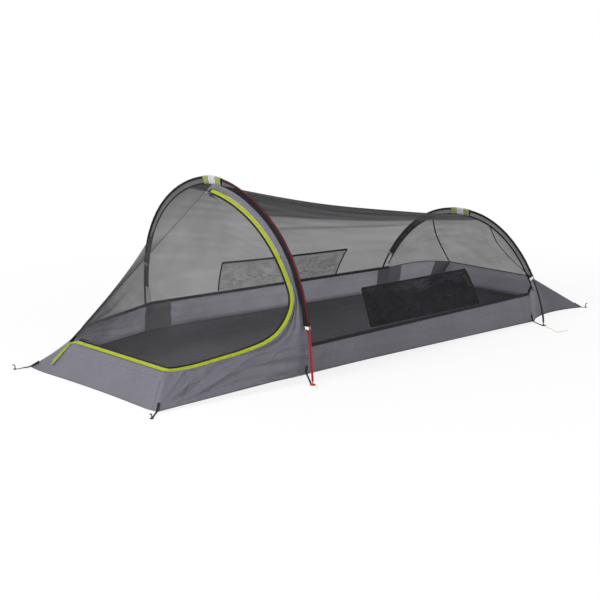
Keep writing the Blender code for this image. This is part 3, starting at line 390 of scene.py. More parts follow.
def fine_grid(grid, along, across):
    """A grid made finer both ways."""
    return finer(finer(grid, along).swapaxes(0, 1), across).swapaxes(0, 1)


def taut(grid, pull, rounds=600):
    """Draws the inside of a grid taut between its fixed rim."""
    grid = grid.copy()
    for _ in range(rounds):
        along = grid[:-2, 1:-1] + grid[2:, 1:-1]
        across = grid[1:-1, :-2] + grid[1:-1, 2:]
        grid[1:-1, 1:-1] = (pull * along + across) / (2 * pull + 2)
    return grid


def at_share(grid, u, v):
    """The point of a grid at shares of its rows and of its columns."""
    rows, columns = grid.shape[0] - 1, grid.shape[1] - 1
    row, column = min(max(u, 0.0), 1.0) * rows, min(max(v, 0.0), 1.0) * columns
    r, c = min(int(row), rows - 1), min(int(column), columns - 1)
    across = grid[r : r + 2, c] * (1 - (column - c)) + grid[r : r + 2, c + 1] * (column - c)
    return across[0] * (1 - (row - r)) + across[1] * (row - r)


def shares_of(grid):
    rows, columns = grid.shape[:2]
    return np.meshgrid(np.linspace(0, 1, rows), np.linspace(0, 1, columns), indexing="ij")


def grid_normals(grid):
    return unit(np.cross(np.gradient(grid, axis=0), np.gradient(grid, axis=1)))


def faces_way(grid, way):
    """Whether the normal in the middle of a grid points along a way."""
    return grid_normals(grid)[grid.shape[0] // 2, grid.shape[1] // 2] @ np.array(way, float) > 0


def grid_spans(grid):
    """Mean length of a grid along its rows and along its columns."""
    rows = np.linalg.norm(np.diff(grid, axis=0), axis=2).sum(axis=0).mean()
    columns = np.linalg.norm(np.diff(grid, axis=1), axis=2).sum(axis=1).mean()
    return float(rows), float(columns)


def rim_fade(grid, width):
    """0 at the rim of a grid, 1 from a width on, as shares."""
    u, v = shares_of(grid)
    return rising(np.minimum.reduce([u, 1 - u, v, 1 - v]), width)


def wrinkled(grid, *waves):
    """A grid moved along its normals by waves of (height, share at each point)."""
    shift = sum(height * wave for height, wave in waves) * rim_fade(grid, 0.06)
    return grid + grid_normals(grid) * shift[:, :, None]


def bumpy(grid, seed, count, low, high):
    """Smooth uneven shares over a grid, made of a few sines."""
    u, v = shares_of(grid)
    source = np.random.default_rng(seed)
    parts = [[source.uniform(*span) for span in ((low, high), (low, high), (0, 6.3))] for _ in range(count)]
    return sum(np.sin(a * u + b * v + c) for a, b, c in parts) / count


# Pieces


def link(name, data):
    piece = bpy.data.objects.new(name, data)
    bpy.context.scene.collection.objects.link(piece)
    return piece


def attach(piece, node=None, body="tent_body"):
    """Lets a piece ride a body and stand for a node of the part."""
    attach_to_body(piece, body)
    if node:
        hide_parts(node)
    return piece


def soft(piece, node=None, body="tent_body"):
    """Cloth of the front: it rides a body, stands for a node of the part and has a mesh of its own."""
    attach(piece, node, body)
    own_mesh(piece)


def add_mesh(name, points, faces, material, cloth=None, density=None, smooth=True):
    points = np.asarray(points, float)
    mesh = bpy.data.meshes.new(name)
    mesh.from_pydata(points.tolist(), [], faces)
    cloth = np.zeros(points.shape) if cloth is None else cloth
    density = np.zeros(len(points)) if density is None else density
    mesh.attributes.new("cloth", "FLOAT_VECTOR", "POINT").data.foreach_set("vector", cloth.ravel())
    mesh.attributes.new("cover", "FLOAT", "POINT").data.foreach_set("value", density.ravel())
    for face in mesh.polygons:
        face.use_smooth = smooth
    mesh.materials.append(MATERIALS[material])
    piece = link(name, mesh)
    return piece


def grid_faces(rows, columns, closed=False):
    faces = []
    for r in range(rows - 1):
        for c in range(columns if closed else columns - 1):
            d = (c + 1) % columns
            faces.append([r * columns + c, r * columns + d, (r + 1) * columns + d, (r + 1) * columns + c])
    return faces


def add_sheet(name, grid, material, density=None, thick=0.0, inside=None):
    """A sheet of cloth on a grid, with its coordinates in metres kept for the weave."""
    rows, columns = grid.shape[:2]
    cloth = np.stack([*shares_of(grid), np.zeros((rows, columns))], axis=2) * (*grid_spans(grid), 0.0)
    piece = add_mesh(name, grid.reshape(-1, 3), grid_faces(rows, columns), material, cloth, density)
    if thick:
        solid = piece.modifiers.new("thickness", "SOLIDIFY")
        solid.thickness = thick
        solid.offset = 0.0
        if inside is not None:
            piece.data.materials.append(MATERIALS[inside])
            solid.material_offset = 1
    return piece


def arc(radius, start, end, count):
    return [(radius * math.cos(t), radius * math.sin(t)) for t in np.linspace(start, end, count)]


def ring(radius, sides):
    return arc(radius, 0.0, 2 * math.pi, sides + 1)[:-1]


def band_outline(width, thickness):
    """A tape's section with slightly rounded edges."""
    w, t = width / 2, thickness / 2
    corner = min(t, w) * 0.6
    half = [(-w, -t + corner), (-w + corner, -t), (w - corner, -t), (w, -t + corner)]
    return half + [(-x, -y) for x, y in half]


def sweep(name, route, across, out, outline, material, shrink=1.0):
    """A closed section carried along a route; across and out are its directions at each point."""
    route = np.asarray(route, float)
    rows, columns = len(route), len(outline)
    across, out = (np.broadcast_to(way, route.shape)[:, None] for way in (across, out))
    outline = np.asarray(outline, float)
    shrink = np.broadcast_to(shrink, rows)[:, None, None]
    points = route[:, None] + (across * outline[:, :1] + out * outline[:, 1:]) * shrink
    cloth = np.zeros(points.shape)
    cloth[:, :, 0] = travelled(route)[:, None]
    cloth[:, :, 1] = travelled(outline)
    faces = grid_faces(rows, columns, closed=True)
    faces.append(list(range(columns))[::-1])
    faces.append([(rows - 1) * columns + i for i in range(columns)])
    return add_mesh(name, points.reshape(-1, 3), faces, material, cloth)


def add_tube(name, route, radius, material, up, shrink):
    """A round rod along a route, without twist."""
    tangents = tangents_of(route)
    ups = []
    for tangent in tangents:
        up = unit(up - tangent * (up @ tangent))
        ups.append(up)
    across = unit(np.cross(tangents, ups))
    return sweep(name, route, across, np.array(ups), ring(radius, 12), material, shrink)


def add_band(name, route, normals, width, thickness, material, shrink=1.0):
    """A tape along a route, lying square to the normals."""
    tangents = tangents_of(route)
    across = unit(np.cross(np.broadcast_to(normals, tangents.shape), tangents))
    out = unit(np.cross(tangents, across))
    return sweep(name, route, across, out, band_outline(width, thickness), material, shrink)


def add_row(name, route, normals, count, shape, faces, material, zigzag=0.0, smooth=True):
    """A small shape of (along, across, out) points over and over along a route."""
    route, shape = np.asarray(route, float), np.array(shape)
    centres = even_points(route, count)
    outs = unit(even_points(route, count, np.broadcast_to(normals, route.shape)))
    tangents = tangents_of(centres)
    across = unit(np.cross(outs, tangents))
    centres += across * np.where(np.arange(count) % 2, zigzag, -zigzag)[:, None]
    ways = np.stack([tangents, across, outs], axis=1)
    points = (centres[:, None] + shape @ ways).reshape(-1, 3)
    firsts = range(0, len(points), len(shape))
    faces = [[first + i for i in face] for first in firsts for face in faces]
    return add_mesh(name, points, faces, material, smooth=smooth)


def add_stitches(name, route, normals, step, length, thick, material):
    """A row of sewn stitches lying on the cloth."""
    count = max(2, int(travelled(route)[-1] / step))
    shape = [
        (end * length, side * thick / 2, rise * thick * 1.4)
        for end, rise in ((-0.5, 0.1), (-0.25, 0.5), (0.25, 0.5), (0.5, 0.1))
        for side in (-1, 1)
    ]
    faces = [[2 * i, 2 * i + 1, 2 * i + 3, 2 * i + 2] for i in range(3)]
    return add_row(name, route, normals, count, shape, faces, material)


def add_teeth(name, route, normals, width, step, thick):
    """The zip's coil: a low ridge with a tooth at every step."""
    shape = [
        (along * step, side * width, rise * thick)
        for along in (-0.42, 0.42)
        for side, rise in ((-0.5, 0.0), (-0.36, 1.0), (0.36, 1.0), (0.5, 0.0))
    ]
    faces = [[i, i + 1, i + 5, i + 4] for i in range(3)] + [[3, 2, 1, 0], [4, 5, 6, 7]]
    count = int(travelled(route)[-1] / step)
    return add_row(name, route, normals, count, shape, faces, "lime", 0.0003, smooth=False)


# Hoops and edges that the cloth hangs on


class Hoop:
    """A pole bent into a superellipse in a plane that leans on its two feet."""

    def __init__(self, foot_x, half_width, height, lean, side_power, top_power):
        self.foot = xyz(foot_x, 0.0, BALL)
        across = xyz(0.0, 1.0, 0.0)
        rise = unit(xyz(lean, 0.0, height))
        self.facing = np.cross(across, rise)
        turns = np.linspace(0.0, math.pi, 2001)
        sides = -half_width * np.sign(np.cos(turns)) * np.abs(np.cos(turns)) ** (2 / side_power)
        ups = (height - BALL) / rise[2] * np.abs(np.sin(turns)) ** (2 / top_power)
        route = self.foot + sides[:, None] * across + ups[:, None] * rise
        self.stations = even_points(route, HOOP_STEPS + 1)
        self.length = float(travelled(self.stations)[-1])
        self.inward = unit(np.cross(self.facing, tangents_of(self.stations)))
        if self.inward[HOOP_TOP, 2] > 0:
            self.inward = -self.inward
        self.fine = finer(self.stations, 5)
        self.fine_inward = unit(finer(self.inward, 5))

    def at(self, distances):
        """Centres and inward directions at distances along the pole from its near foot."""
        places = np.clip(np.asarray(distances, float) / self.length, 0.0, 1.0) * (len(self.fine) - 1)
        low = np.minimum(places.astype(int), len(self.fine) - 2)
        part = (places - low)[..., None]
        lines = (self.fine, self.fine_inward)
        centres, inward = (line[low] * (1 - part) + line[low + 1] * part for line in lines)
        return centres, unit(inward)

    def beside(self, start, end, count, depth):
        """A route that follows the pole on its inner side."""
        centres, inward = self.at(np.linspace(start, end, count))
        return centres + inward * depth

    def distance_at_height(self, height):
        step = self.length / HOOP_STEPS
        return float(np.interp(height, self.stations[: HOOP_TOP + 1, 2], np.arange(HOOP_TOP + 1) * step))

    def seam_point(self, station):
        return self.stations[station] + self.inward[station] * SEAM_DEPTH

    def seam_route(self):
        return np.array([self.seam_point(i) for i in range(FIRST_SEAM_STEP, LAST_SEAM_STEP + 1)])

    def sweep(self, name, distances, outline, material, shrink):
        """A section of inward and facing offsets carried along the pole."""
        centres, inward = self.at(distances)
        return sweep(name, centres, inward, self.facing, outline, material, shrink)

    def sheet(self, distances, profile):
        """A grid of inward and facing offsets carried along the pole."""
        centres, inward = self.at(distances)
        a, b = np.array(profile).T[:, :, None]
        return centres[:, None] + inward[:, None] * a + self.facing * b


FRONT = Hoop(-0.576, 0.514, 0.740, -0.053, 1.734, 3.097)
REAR = Hoop(0.832, 0.512, 0.4615, 0.021, 2.167, 1.490)
HOOPS = {"front": FRONT, "rear": REAR}


def tub_corner(name, side):
    return TUB_CORNERS[name] * xyz(1.0, side, 1.0)


def corner_line(first, second, side, count):
    return even_points([tub_corner(first, side), tub_corner(second, side)], count)


def cross_line(name, count, start=-1):
    """Points from a corner of the tub to the same corner on the other side."""
    return even_points([tub_corner(name, start), tub_corner(name, -start)], count)


def tub_top_route(side):
    heights = (0.110, 0.142) if side < 0 else (0.145, 0.150)
    shoulder = [xyz(x, y * side, z) for (x, y), z in zip(((-1.006, 0.340), (-0.825, 0.400)), heights)]
    return np.array([tub_corner("head_top", side), *shoulder, tub_corner("front_top", side)])


def foot_edge_point(part, side):
    start, end = tub_corner("rear_edge", 1), tub_corner("foot_edge", 1)
    x = start[0] + (end[0] - start[0]) * part
    fixed = start if x < WAIST[0] else end
    reach = (x - WAIST[0]) / (fixed[0] - WAIST[0])
    y = WAIST[1] + (fixed[1] - WAIST[1]) * reach**2
    return xyz(x, y * side, end[2] + (start[2] - end[2]) * (1 - part) ** 3)


def tub_edge_route(side):
    head = corner_line("head_edge", "front_edge", side, 9)
    middle = corner_line("front_edge", "rear_edge", side, 15)
    foot = [foot_edge_point(i / 10, side) for i in range(1, 11)]
    return np.concatenate([head, middle[1:], foot])


def floor_grid():
    rows = []
    for x, half, height in tub_edge_route(1):
        rise = min(0.110, half)
        sides = [half, half - rise * 0.25, half - rise * 0.6, half - rise, half * 0.35]
        corner = 0.020 * max(0.0, (x - WAIST[0]) / 0.178) ** 2
        head = 0.016 * max(0.0, (x + 0.576) / -0.650) ** 3
        row = []
        for y in [-y for y in sides] + [0.0] + sides[::-1]:
            share = max(0.0, 1 - (half - abs(y)) / rise)
            bow = head * (1 - (y / half) ** 2) - corner * (1 - (abs(y) / half) ** 8)
            row.append((x + bow, y, FLOOR_LIFT + (height - FLOOR_LIFT) * share**2))
        rows.append(row)
    return np.array(rows)


def gusset_top(side, count=7):
    start = REAR.seam_point(FIRST_SEAM_STEP) if side < 0 else tub_corner("rear_top", side)
    line = even_points([start, tub_corner("foot_top", side)], count)
    if side > 0:
        line[:, 2] += 0.014 * np.sin(np.linspace(0.0, math.pi, count))
    return line


def door_seam_route(count):
    return even_points([FRONT.seam_point(HOOP_TOP), tub_corner("head_top", 1)], count)


def half_seam(side):
    """The front hoop's seam from its top down to the tub."""
    last = FIRST_SEAM_STEP if side < 0 else LAST_SEAM_STEP
    points = [FRONT.seam_point(i) for i in range(HOOP_TOP, last + side, side)]
    return np.array([*points, tub_corner("front_top", side)])


def middle_canopy_grid():
    lines = []
    for hoop, corner in ((FRONT, "front_top"), (REAR, "rear_top")):
        lines.append(np.array([tub_corner(corner, -1), *hoop.seam_route(), tub_corner(corner, 1)]))
    return taut(between(*lines, np.linspace(0.0, 1.0, 9)), 0.7)


def far_front_grid():
    hoop = half_seam(1)
    grid = between(hoop, np.tile(tub_corner("head_top", 1), (len(hoop), 1)), np.linspace(0.0, 1.0, 11))
    grid[:, -1] = even_points(tub_top_route(1)[::-1], 11)
    grid[:, 0] = door_seam_route(11)
    return taut(grid, 0.6)


def foot_canopy_grid():
    """The foot net's grid, and the two of its rows where the roof meets the sides."""
    route = [*REAR.seam_route(), tub_corner("rear_top", 1)]
    inside = [i for i, point in enumerate(route) if abs(point[1]) < 0.19]
    first, last = inside[0], inside[-1]
    parts = np.linspace(0.0, 1.0, 7)
    grid = []
    for i, start in enumerate(route):
        share = min(max((i - first) / (last - first), 0.0), 1.0)
        end = between(tub_corner("foot_top", -1), tub_corner("foot_top", 1), [share])[0]
        weight = min(1.0, i / first, (len(route) - 1 - i) / (len(route) - 1 - last))
        sag = 0.034 * weight * np.sin(math.pi * parts**0.55)
        grid.append(between(start, end, parts) - sag[:, None] * xyz(0.0, 0.0, 1.0))
    grid[-1] = gusset_top(1)
    return np.array(grid), first, last


def front_patch_grid():
    """The near front surface: from the hoop's seam to the head, and from the door's seam to the tub."""
    hoop = half_seam(-1)
    head = cross_line("head_top", len(hoop), 1)
    seam = door_seam_route(15)
    tub = even_points(tub_top_route(-1)[::-1], 15)
    u = np.linspace(0.0, 1.0, len(hoop))[:, None, None]
    v = np.linspace(0.0, 1.0, 15)[None, :, None]
    ruled = (1 - v) * hoop[:, None] + v * head[:, None] + (1 - u) * seam[None] + u * tub[None]
    corners = (1 - u) * ((1 - v) * hoop[0] + v * head[0]) + u * ((1 - v) * hoop[-1] + v * head[-1])
    return taut(ruled - corners, 1.0)


# Camera, floor and light


def aim(piece, target):
    piece.rotation_euler = (Vector(target) - piece.location).to_track_quat("-Z", "Y").to_euler()


def seen_rays(tree):
    """1 for camera, glossy and transmission rays."""
    rays = tree.node("LightPath").outputs
    direct = tree.math("MAXIMUM", rays["Is Camera Ray"], rays["Is Glossy Ray"])
    return tree.math("MAXIMUM", direct, rays["Is Transmission Ray"])


def floor_material():
    """White floor: mostly plain white where it is seen, with part of the object's shadow kept."""
    tree, place = new_material("studio_white")
    tree.set(colour=(0.80, 0.80, 0.80), rough=0.9, gloss=0.1)
    glow = tree.add("Emission", {"Color": WHITE, "Strength": 1.0})
    far = tree.add("VectorMath", {0: place}, "Value", operation="LENGTH")
    share = tree.math("MULTIPLY", seen_rays(tree), tree.ramp(far, 1.3, 2.6, FLOOR_WHITE_SHARE, 1.0))
    mixed = tree.add("MixShader", {0: share, 1: tree.shader.outputs[0], 2: glow})
    tree.feed(tree.nodes["Material Output"].inputs["Surface"], mixed)


def make_stage():
    scene = bpy.context.scene
    camera = link("camera", bpy.data.cameras.new("camera"))
    camera.location = CAMERA_AT
    aim(camera, CAMERA_TO)
    camera.data.lens = LENS
    camera.data.sensor_width = SENSOR
    scene.camera = camera

    mesh = bpy.data.meshes.new("studio_floor")
    corners = [(x * FLOOR_HALF, y * FLOOR_HALF, 0.0) for x, y in ((-1, -1), (1, -1), (1, 1), (-1, 1))]
    mesh.from_pydata(corners, [], [(0, 1, 2, 3)])
    link("studio_floor", mesh)
    floor_material()
    mesh.materials.append(MATERIALS["studio_white"])

    scene.world = scene.world or bpy.data.worlds.new("studio")
    sky = Tree(scene.world)
    sky.nodes.clear()
    lit = sky.add("Background", {"Color": WHITE, "Strength": WORLD_LIGHT})
    seen = sky.add("Background", {"Color": WHITE, "Strength": 1.0})
    mixed = sky.add("MixShader", {0: seen_rays(sky), 1: lit, 2: seen})
    sky.node("OutputWorld", {0: mixed})

    for name, place, size, power in LAMPS:
        lamp = bpy.data.lights.new(name, "AREA")
        lamp.energy = power
        lamp.size = size
        piece = link(name, lamp)
        piece.location = place
        aim(piece, LAMP_TARGET)
    scene.view_settings.view_transform = "Standard"


# Loose cords at the near feet


def make_cords():
    for kind, turns in (("front", 3), ("rear", 5)):
        foot = HOOPS[kind].stations[0] * xyz(1.0, 1.0, 0.0)
        points = [foot + xyz(x, y, CORD_RADIUS + CORD_LIFT) for x, y in CORDS[kind]]
        route = finer(np.array(points), turns)
        curve = bpy.data.curves.new(f"{kind}_cord_end", "CURVE")
        curve.dimensions = "3D"
        curve.bevel_depth = CORD_RADIUS
        curve.bevel_resolution = 3
        curve.use_fill_caps = True
        spline = curve.splines.new("POLY")
        spline.points.add(len(route) - 1)
        for point, place in zip(spline.points, route):
            point.co = (*place, 1.0)
        cord = link(f"{kind}_cord_end", curve)
        curve.materials.append(MATERIALS["cord_lime"])
        attach(cord, f"{kind}_loose_cord")


# Tub


def wall_piece(name, grid, side, node):
    """A panel of the tub, its first face outside; its inside face gets painted shade near the head and the
    floor, where less light reaches it.
    """
    if faces_way(grid, side):
        grid = grid[:, ::-1]
    # Painted shade on the inside face: this share falls towards the head and next to the floor, and the low
    # colour of wall_inside takes its place.
    light = np.interp(grid[:, :, 0], (-0.86, -0.80, -0.45, 0.10), (0.08, 0.22, 0.22, 0.39))
    light *= rising(shares_of(grid)[0], 0.2)
    piece = attach(add_sheet(name, grid, "wall", light, CLOTH, "wall_inside"), node)


def end_wall(bottom, corner, heights, along, across):
    """An end of the tub, from the floor's edge up to the line between two corners."""
    shares = (bottom[:, 1] - bottom[0, 1]) / (bottom[-1, 1] - bottom[0, 1])
    top = between(tub_corner(corner, -1), tub_corner(corner, 1), shares)
    return fine_grid(between(bottom, top, heights), along, across)


def inner_patch(name, grid, rows, columns, side, material="faint_patch"):
    """A patch sewn inside a wall where a pole or corner pulls on it. Its colour is painted shade: darker
    than the inside of the wall, where the doubled cloth lets less light through.
    """
    across = np.linspace(*columns, 13)
    part = np.array([[at_share(grid, u, v) for v in across] for u in np.linspace(*rows, 13)])
    inward = grid_normals(part)
    inward *= -1 if inward[6, 6, 1] * side > 0 else 1
    attach(add_sheet(name, part + inward * PATCH_LIFT, material))


def sewn_line(name, grid, start, end, outward, material="patch"):
    """A straight row of stitches on the outside of a wall, between two (row, column) shares."""
    outward = unit(np.array(outward, float))
    route = [at_share(grid, u, v) + outward * SEWING_LIFT for u, v in np.linspace(start, end, 12)]
    attach(add_stitches(name, route, outward, 0.0060, 0.0040, 0.0012, material))


def make_tub():
    coarse = floor_grid()
    floor = fine_grid(coarse, 3, 3)
    floor[:, :, 2] = np.maximum(floor[:, :, 2], FLOOR_LIFT)
    floor[:, :, 2] += 0.0022 * rim_fade(floor, 0.08) * (1 + bumpy(floor, 3, 6, 4.0, 16.0))
    inward = np.abs(floor[:, -1:, 1]) - np.abs(floor[:, :, 1])
    piece = attach(add_sheet("tub_floor", floor, "floor", rising(inward, 0.32), CLOTH), "groundsheet")

    head = end_wall(coarse[0], "head_top", (0.0, 0.5, 1.0), 8, 6)
    u, v = shares_of(head)
    hanging = hump(v, 0.22) * np.sin(26.0 * v + 7.0 * u) + hump(1 - v, 0.25) * np.sin(26.0 * v - 7.0 * u)
    hanging *= np.sin(np.pi * u) ** 0.5
    head = wrinkled(head, (0.0035, bumpy(head, 11, 6, 3.0, 14.0)), (0.0030, hanging))
    wall_piece("head_end", head, (-1, 0, 1), "head_wall")
    lift = unit(xyz(-1.0, 0.0, 1.0)) * SEWING_LIFT
    for number, (row, ends) in enumerate(((0.86, (0.03, 0.97)), (0.74, (0.06, 0.94)))):
        route = [at_share(head, row, column) + lift for column in np.linspace(*ends, 40)]
        attach(add_band(f"head_seam_{number + 1}", route, (-1, 0, 0.6), 0.0040, 0.0008, "seam_tape"))
    for number, share in enumerate((0.08, 0.10)):
        start, end = (0.04, share + 0.03), (0.72, share)
        sewn_line(f"head_sewing_{number + 1}", head, start, end, (-1, 0, 1), "seam_tape")

    foot = end_wall(coarse[-1], "foot_top", (0.0, 0.35, 0.7, 1.0), 6, 6)
    foot = wrinkled(foot, (0.004, bumpy(foot, 12, 6, 3.0, 14.0)))
    wall_piece("foot_end", foot, (1, 0, 1), "foot_end_wall")
    for side, name in SIDES:
        make_side(side, name)
        make_gusset(side, name)


def make_side(side, name):
    head_top = even_points(tub_top_route(side), 9)
    top = np.concatenate([head_top, corner_line("front_top", "rear_top", side, 15)[1:]])
    grid = fine_grid(between(tub_edge_route(side)[: len(top)], top, (0.0, 0.5, 1.0)), 12, 12)
    along = grid[:, :, 0] - tub_corner("head_edge", side)[0]
    above = np.linalg.norm(grid[:, :, 1:] - grid[:1, :, 1:], axis=2)
    angle, reach = np.arctan2(above, along + 0.01), np.hypot(along, above)
    u, v = shares_of(grid)
    fan = np.abs(np.sin(angle * 15.0 + 0.6 * np.sin(reach * 9.0))) ** 0.6 - 0.6
    fan += 0.4 * np.abs(np.sin(angle * 37.0 + 1.1 * np.sin(reach * 14.0))) ** 0.6
    fan *= rising(reach, 0.10) * np.exp(-((reach / 0.55) ** 4)) * rising(u, 0.2)
    sagging = np.sin(np.pi * u) * np.sin(v * 21.0 + 3.0 * u) * rising(v - 0.30, 0.1)
    leaning = np.sin(90.0 * v - 5.0 * u) * np.sin(np.pi * u) * hump(v - 0.40, 0.07)
    uneven = bumpy(grid, 20 + side, 7, 3.0, 22.0)
    grid = wrinkled(grid, (0.0120, fan), (0.0025, sagging), (0.0022, leaning), (0.0035, uneven))
    wall_piece(f"side_{name}", grid, (0, side, 0.2), f"side_wall_{name}")
    inner_patch(f"foot_patch_{name}", grid, (0.0, 1.0), (0.337, 0.407), side, "inner_patch")
    inner_patch(f"rear_patch_{name}", grid, (0.0, 1.0), (0.965, 1.0), side)
    for place, columns, low, high, lean in (
        ("foot", (0.343, 0.349, 0.396, 0.402), 0.10, 0.96, 1.0),
        ("rear", (0.972, 0.979), 0.10, 0.96, 1.0),
        ("corner", (0.075, 0.082), 0.08, 0.97, 0.6),
    ):
        for number, column in enumerate(columns):
            line = f"{place}_sewing_{name}_{number + 1}"
            sewn_line(line, grid, (low, column * lean), (high, column), (0, side, 0.2))


def make_gusset(side, name):
    edge = np.array([foot_edge_point(i / 10, side) for i in range(11)])
    top = np.concatenate([gusset_top(side), even_points([tub_corner("foot_top", side), edge[-1]], 5)[1:]])
    middle = edge * 0.35 + top * 0.65
    if side < 0:
        middle[0] = tub_corner("rear_top", side)
    grid = fine_grid(np.array([edge, middle, top]), 10, 5)
    grid = wrinkled(grid, (0.0035, bumpy(grid, 30 + side, 6, 3.0, 13.0)))
    wall_piece(f"foot_gusset_{name}", grid, (0, side, 0.4), f"foot_side_{name}")
    inner_patch(f"gusset_patch_{name}", grid, (0.0, 1.0), (0.0, 0.12), side)
    inner_patch(f"foot_corner_patch_{name}", grid, (0.1, 1.0), (0.46, 0.62), side)


# Canopy


def add_net(name, grid, density, outward, material="net"):
    if not faces_way(grid, outward):
        grid, density = grid[:, ::-1], density[:, ::-1]
    piece = add_sheet(name, grid, material, density)
    return piece


def make_middle_canopy(coarse):
    grid = fine_grid(coarse, 7, 8)
    u, v = shares_of(grid)
    slack = hump(v - 0.5, 0.13) * np.sin((v - 0.5) * 95.0 + 2.0 * np.sin(3.0 * u)) * np.sin(np.pi * u) ** 0.6
    grid = wrinkled(grid, (0.0032, slack), (0.0035, bumpy(grid, 5, 6, 3.0, 12.0)))
    away = np.abs(v - 0.5)
    edge = np.where(v < 0.5, 0.187 - 0.095 * u, 0.105 - 0.03 * u)
    lines = 0.16 * hump(away - edge, 0.006) + 0.10 * hump(away - edge * 0.62, 0.008)
    lines += 0.20 * hump(away - 0.238 + 0.13 * u, 0.005) * (v < 0.5) * rising(0.66 - u, 0.15)
    density = 0.35 / (1 + np.exp((away - edge) / 0.006)) + 0.09 * np.exp(-rising(away - edge, 1) / 0.05)
    density += lines * rising(u, 0.05) + 0.03 * np.sin(v * 150.0 + 3.0 * np.sin(5.0 * u)) * hump(away, 0.3)
    soft(add_net("canopy_middle", grid, density, (0, 0, 1)), "middle_canopy")


def make_far_front():
    grid = fine_grid(far_front_grid(), 7, 9)
    u, v = shares_of(grid)
    pulled = np.sin(v * 34.0 + 1.5 * np.sin(2.0 * u)) * u**1.5 * rising(1 - u, 0.125)
    grid = wrinkled(grid, (0.004, pulled), (0.004, bumpy(grid, 6, 6, 3.0, 10.0)))
    density = 0.16 * (1 - u) ** 4 + hump(v, 0.45) * (0.03 + 0.54 * rising(u - 0.28, 1 / 2.6)) + 0.10 * u**3
    creases = np.maximum(0.0, np.sin(v * 46.0 + 1.2 * np.sin(2.0 * u))) ** 14
    density += 0.30 * creases * rising(u - 0.25, 0.3)
    soft(add_net("canopy_far_front", grid, density, (-1, 1, 1)), "far_front_canopy")


def make_foot_net():
    coarse, first, last = foot_canopy_grid()
    grid = fine_grid(coarse, 3, 5)
    grid = wrinkled(grid, (0.0025, bumpy(grid, 8, 6, 4.0, 12.0)))
    u, v = shares_of(grid)
    density = 0.04 + 0.05 * np.sin(v * 30.0 + 4.0 * u) ** 2 * hump(v, 0.4)
    net = add_net("canopy_foot", grid, density, (1, 0, 1))
    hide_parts("foot_canopy")
    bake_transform(net)
    for number, name in ((first, "near"), (last, "far")):
        normals = grid_normals(coarse)[number]
        normals = unit(finer(normals * np.sign(normals[3, 2]), 6))
        route = finer(coarse[number], 6) + normals * SEWING_LIFT
        band = add_band(f"foot_seam_{name}", route, normals, 0.0075, 0.0008, "binding")
        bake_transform(band)


# Door, zip and the grey panel beside it


class ZipLine:
    """The zip's line on the near front surface: a smooth route with its directions across and out."""

    def __init__(self, patch):
        row, column = 1 / (patch.shape[0] - 1), 1 / (patch.shape[1] - 1)

        def lowest(v):
            step = at_share(patch, 1.0, v) - at_share(patch, 1 - row, v)
            return 1 - ZIP_SETBACK / np.linalg.norm(step) * row

        self.places = []
        for u in np.linspace(0.035, 1.0, 21):
            turn = rising(u - 0.78, 0.22) ** 3
            v = ZIP_SHARE * (1 - turn) + ZIP_CORNER_SHARE * turn
            self.places.append((min(u, lowest(v)), v))
        self.down_count = len(self.places)
        self.places += [(lowest(v), v) for v in np.linspace(ZIP_CORNER_SHARE, 1.0, 9)[1:-1]]
        points = [at_share(patch, *place) for place in self.places]
        uphill = at_share(patch, 0.5, 1 - column) - at_share(patch, 0.5, 1.0)
        across = unit(uphill * xyz(1.0, 0.0, 1.0))
        corner = tub_corner("head_top", -1) + across * ZIP_SETBACK
        corner[1] += ZIP_SETBACK * 1.2
        points += list(even_points([corner, corner * xyz(1.0, -1.0, 1.0) - xyz(0.0, ZIP_REACH, 0.0)], 9))
        inner = 1 - ZIP_SETBACK / np.linalg.norm(uphill) * column
        last = 1 - (ZIP_REACH + ZIP_SETBACK) / 0.606
        self.places += [(1 - part, inner) for part in np.linspace(0.03, last, 9)]
        along = tangents_of(points)
        inside = unit(at_share(patch, 0.5, 0.5) - points)
        out = unit(np.cross(along, inside))
        flat = unit(np.cross(xyz(0.0, 1.0, 0.0), across))
        flat *= np.sign(flat[2])
        out[out @ flat < 0] *= -1
        out[-9:] = flat
        hand = np.sign(np.sum(np.cross(out, along) * inside))
        self.points = finer(np.array(points), ZIP_POINTS)
        self.out = unit(finer(out, ZIP_POINTS))
        self.side = unit(np.cross(self.out, tangents_of(self.points))) * hand

    def offset(self, distance, lift=0.0):
        """The zip's line moved across, towards the door when positive, and out of the cloth."""
        moved = self.points + self.side * distance
        for _ in range(3):
            moved[1:-1] = (moved[:-2] + 2 * moved[1:-1] + moved[2:]) / 4
        return moved + self.out * lift


def make_zip(line):
    hem = line.offset(ZIP_EDGE + 0.0022, 0.0004)
    soft(add_teeth("zip_coil", line.offset(0.0, 0.0006), line.out, 0.0042, 0.0026, 0.0013))
    soft(add_band("door_hem", hem, line.out, 0.0074, 0.0009, "binding"), body="door")
    for name, side, body in (("frame", -1, "tent_body"), ("door", 1, "door")):
        route = line.offset(side * 0.0037, 0.0002)
        soft(add_band(f"zip_tape_{name}", route, line.out, 0.0062, 0.0011, "lime"), f"{name}_zip_tape", body)
        route = line.offset(side * 0.0062, 0.0008)
        stitches = add_stitches(f"zip_stitch_{name}", route, line.out, 0.0045, 0.0028, 0.0006, "lime_pale")
        soft(stitches, body=body)


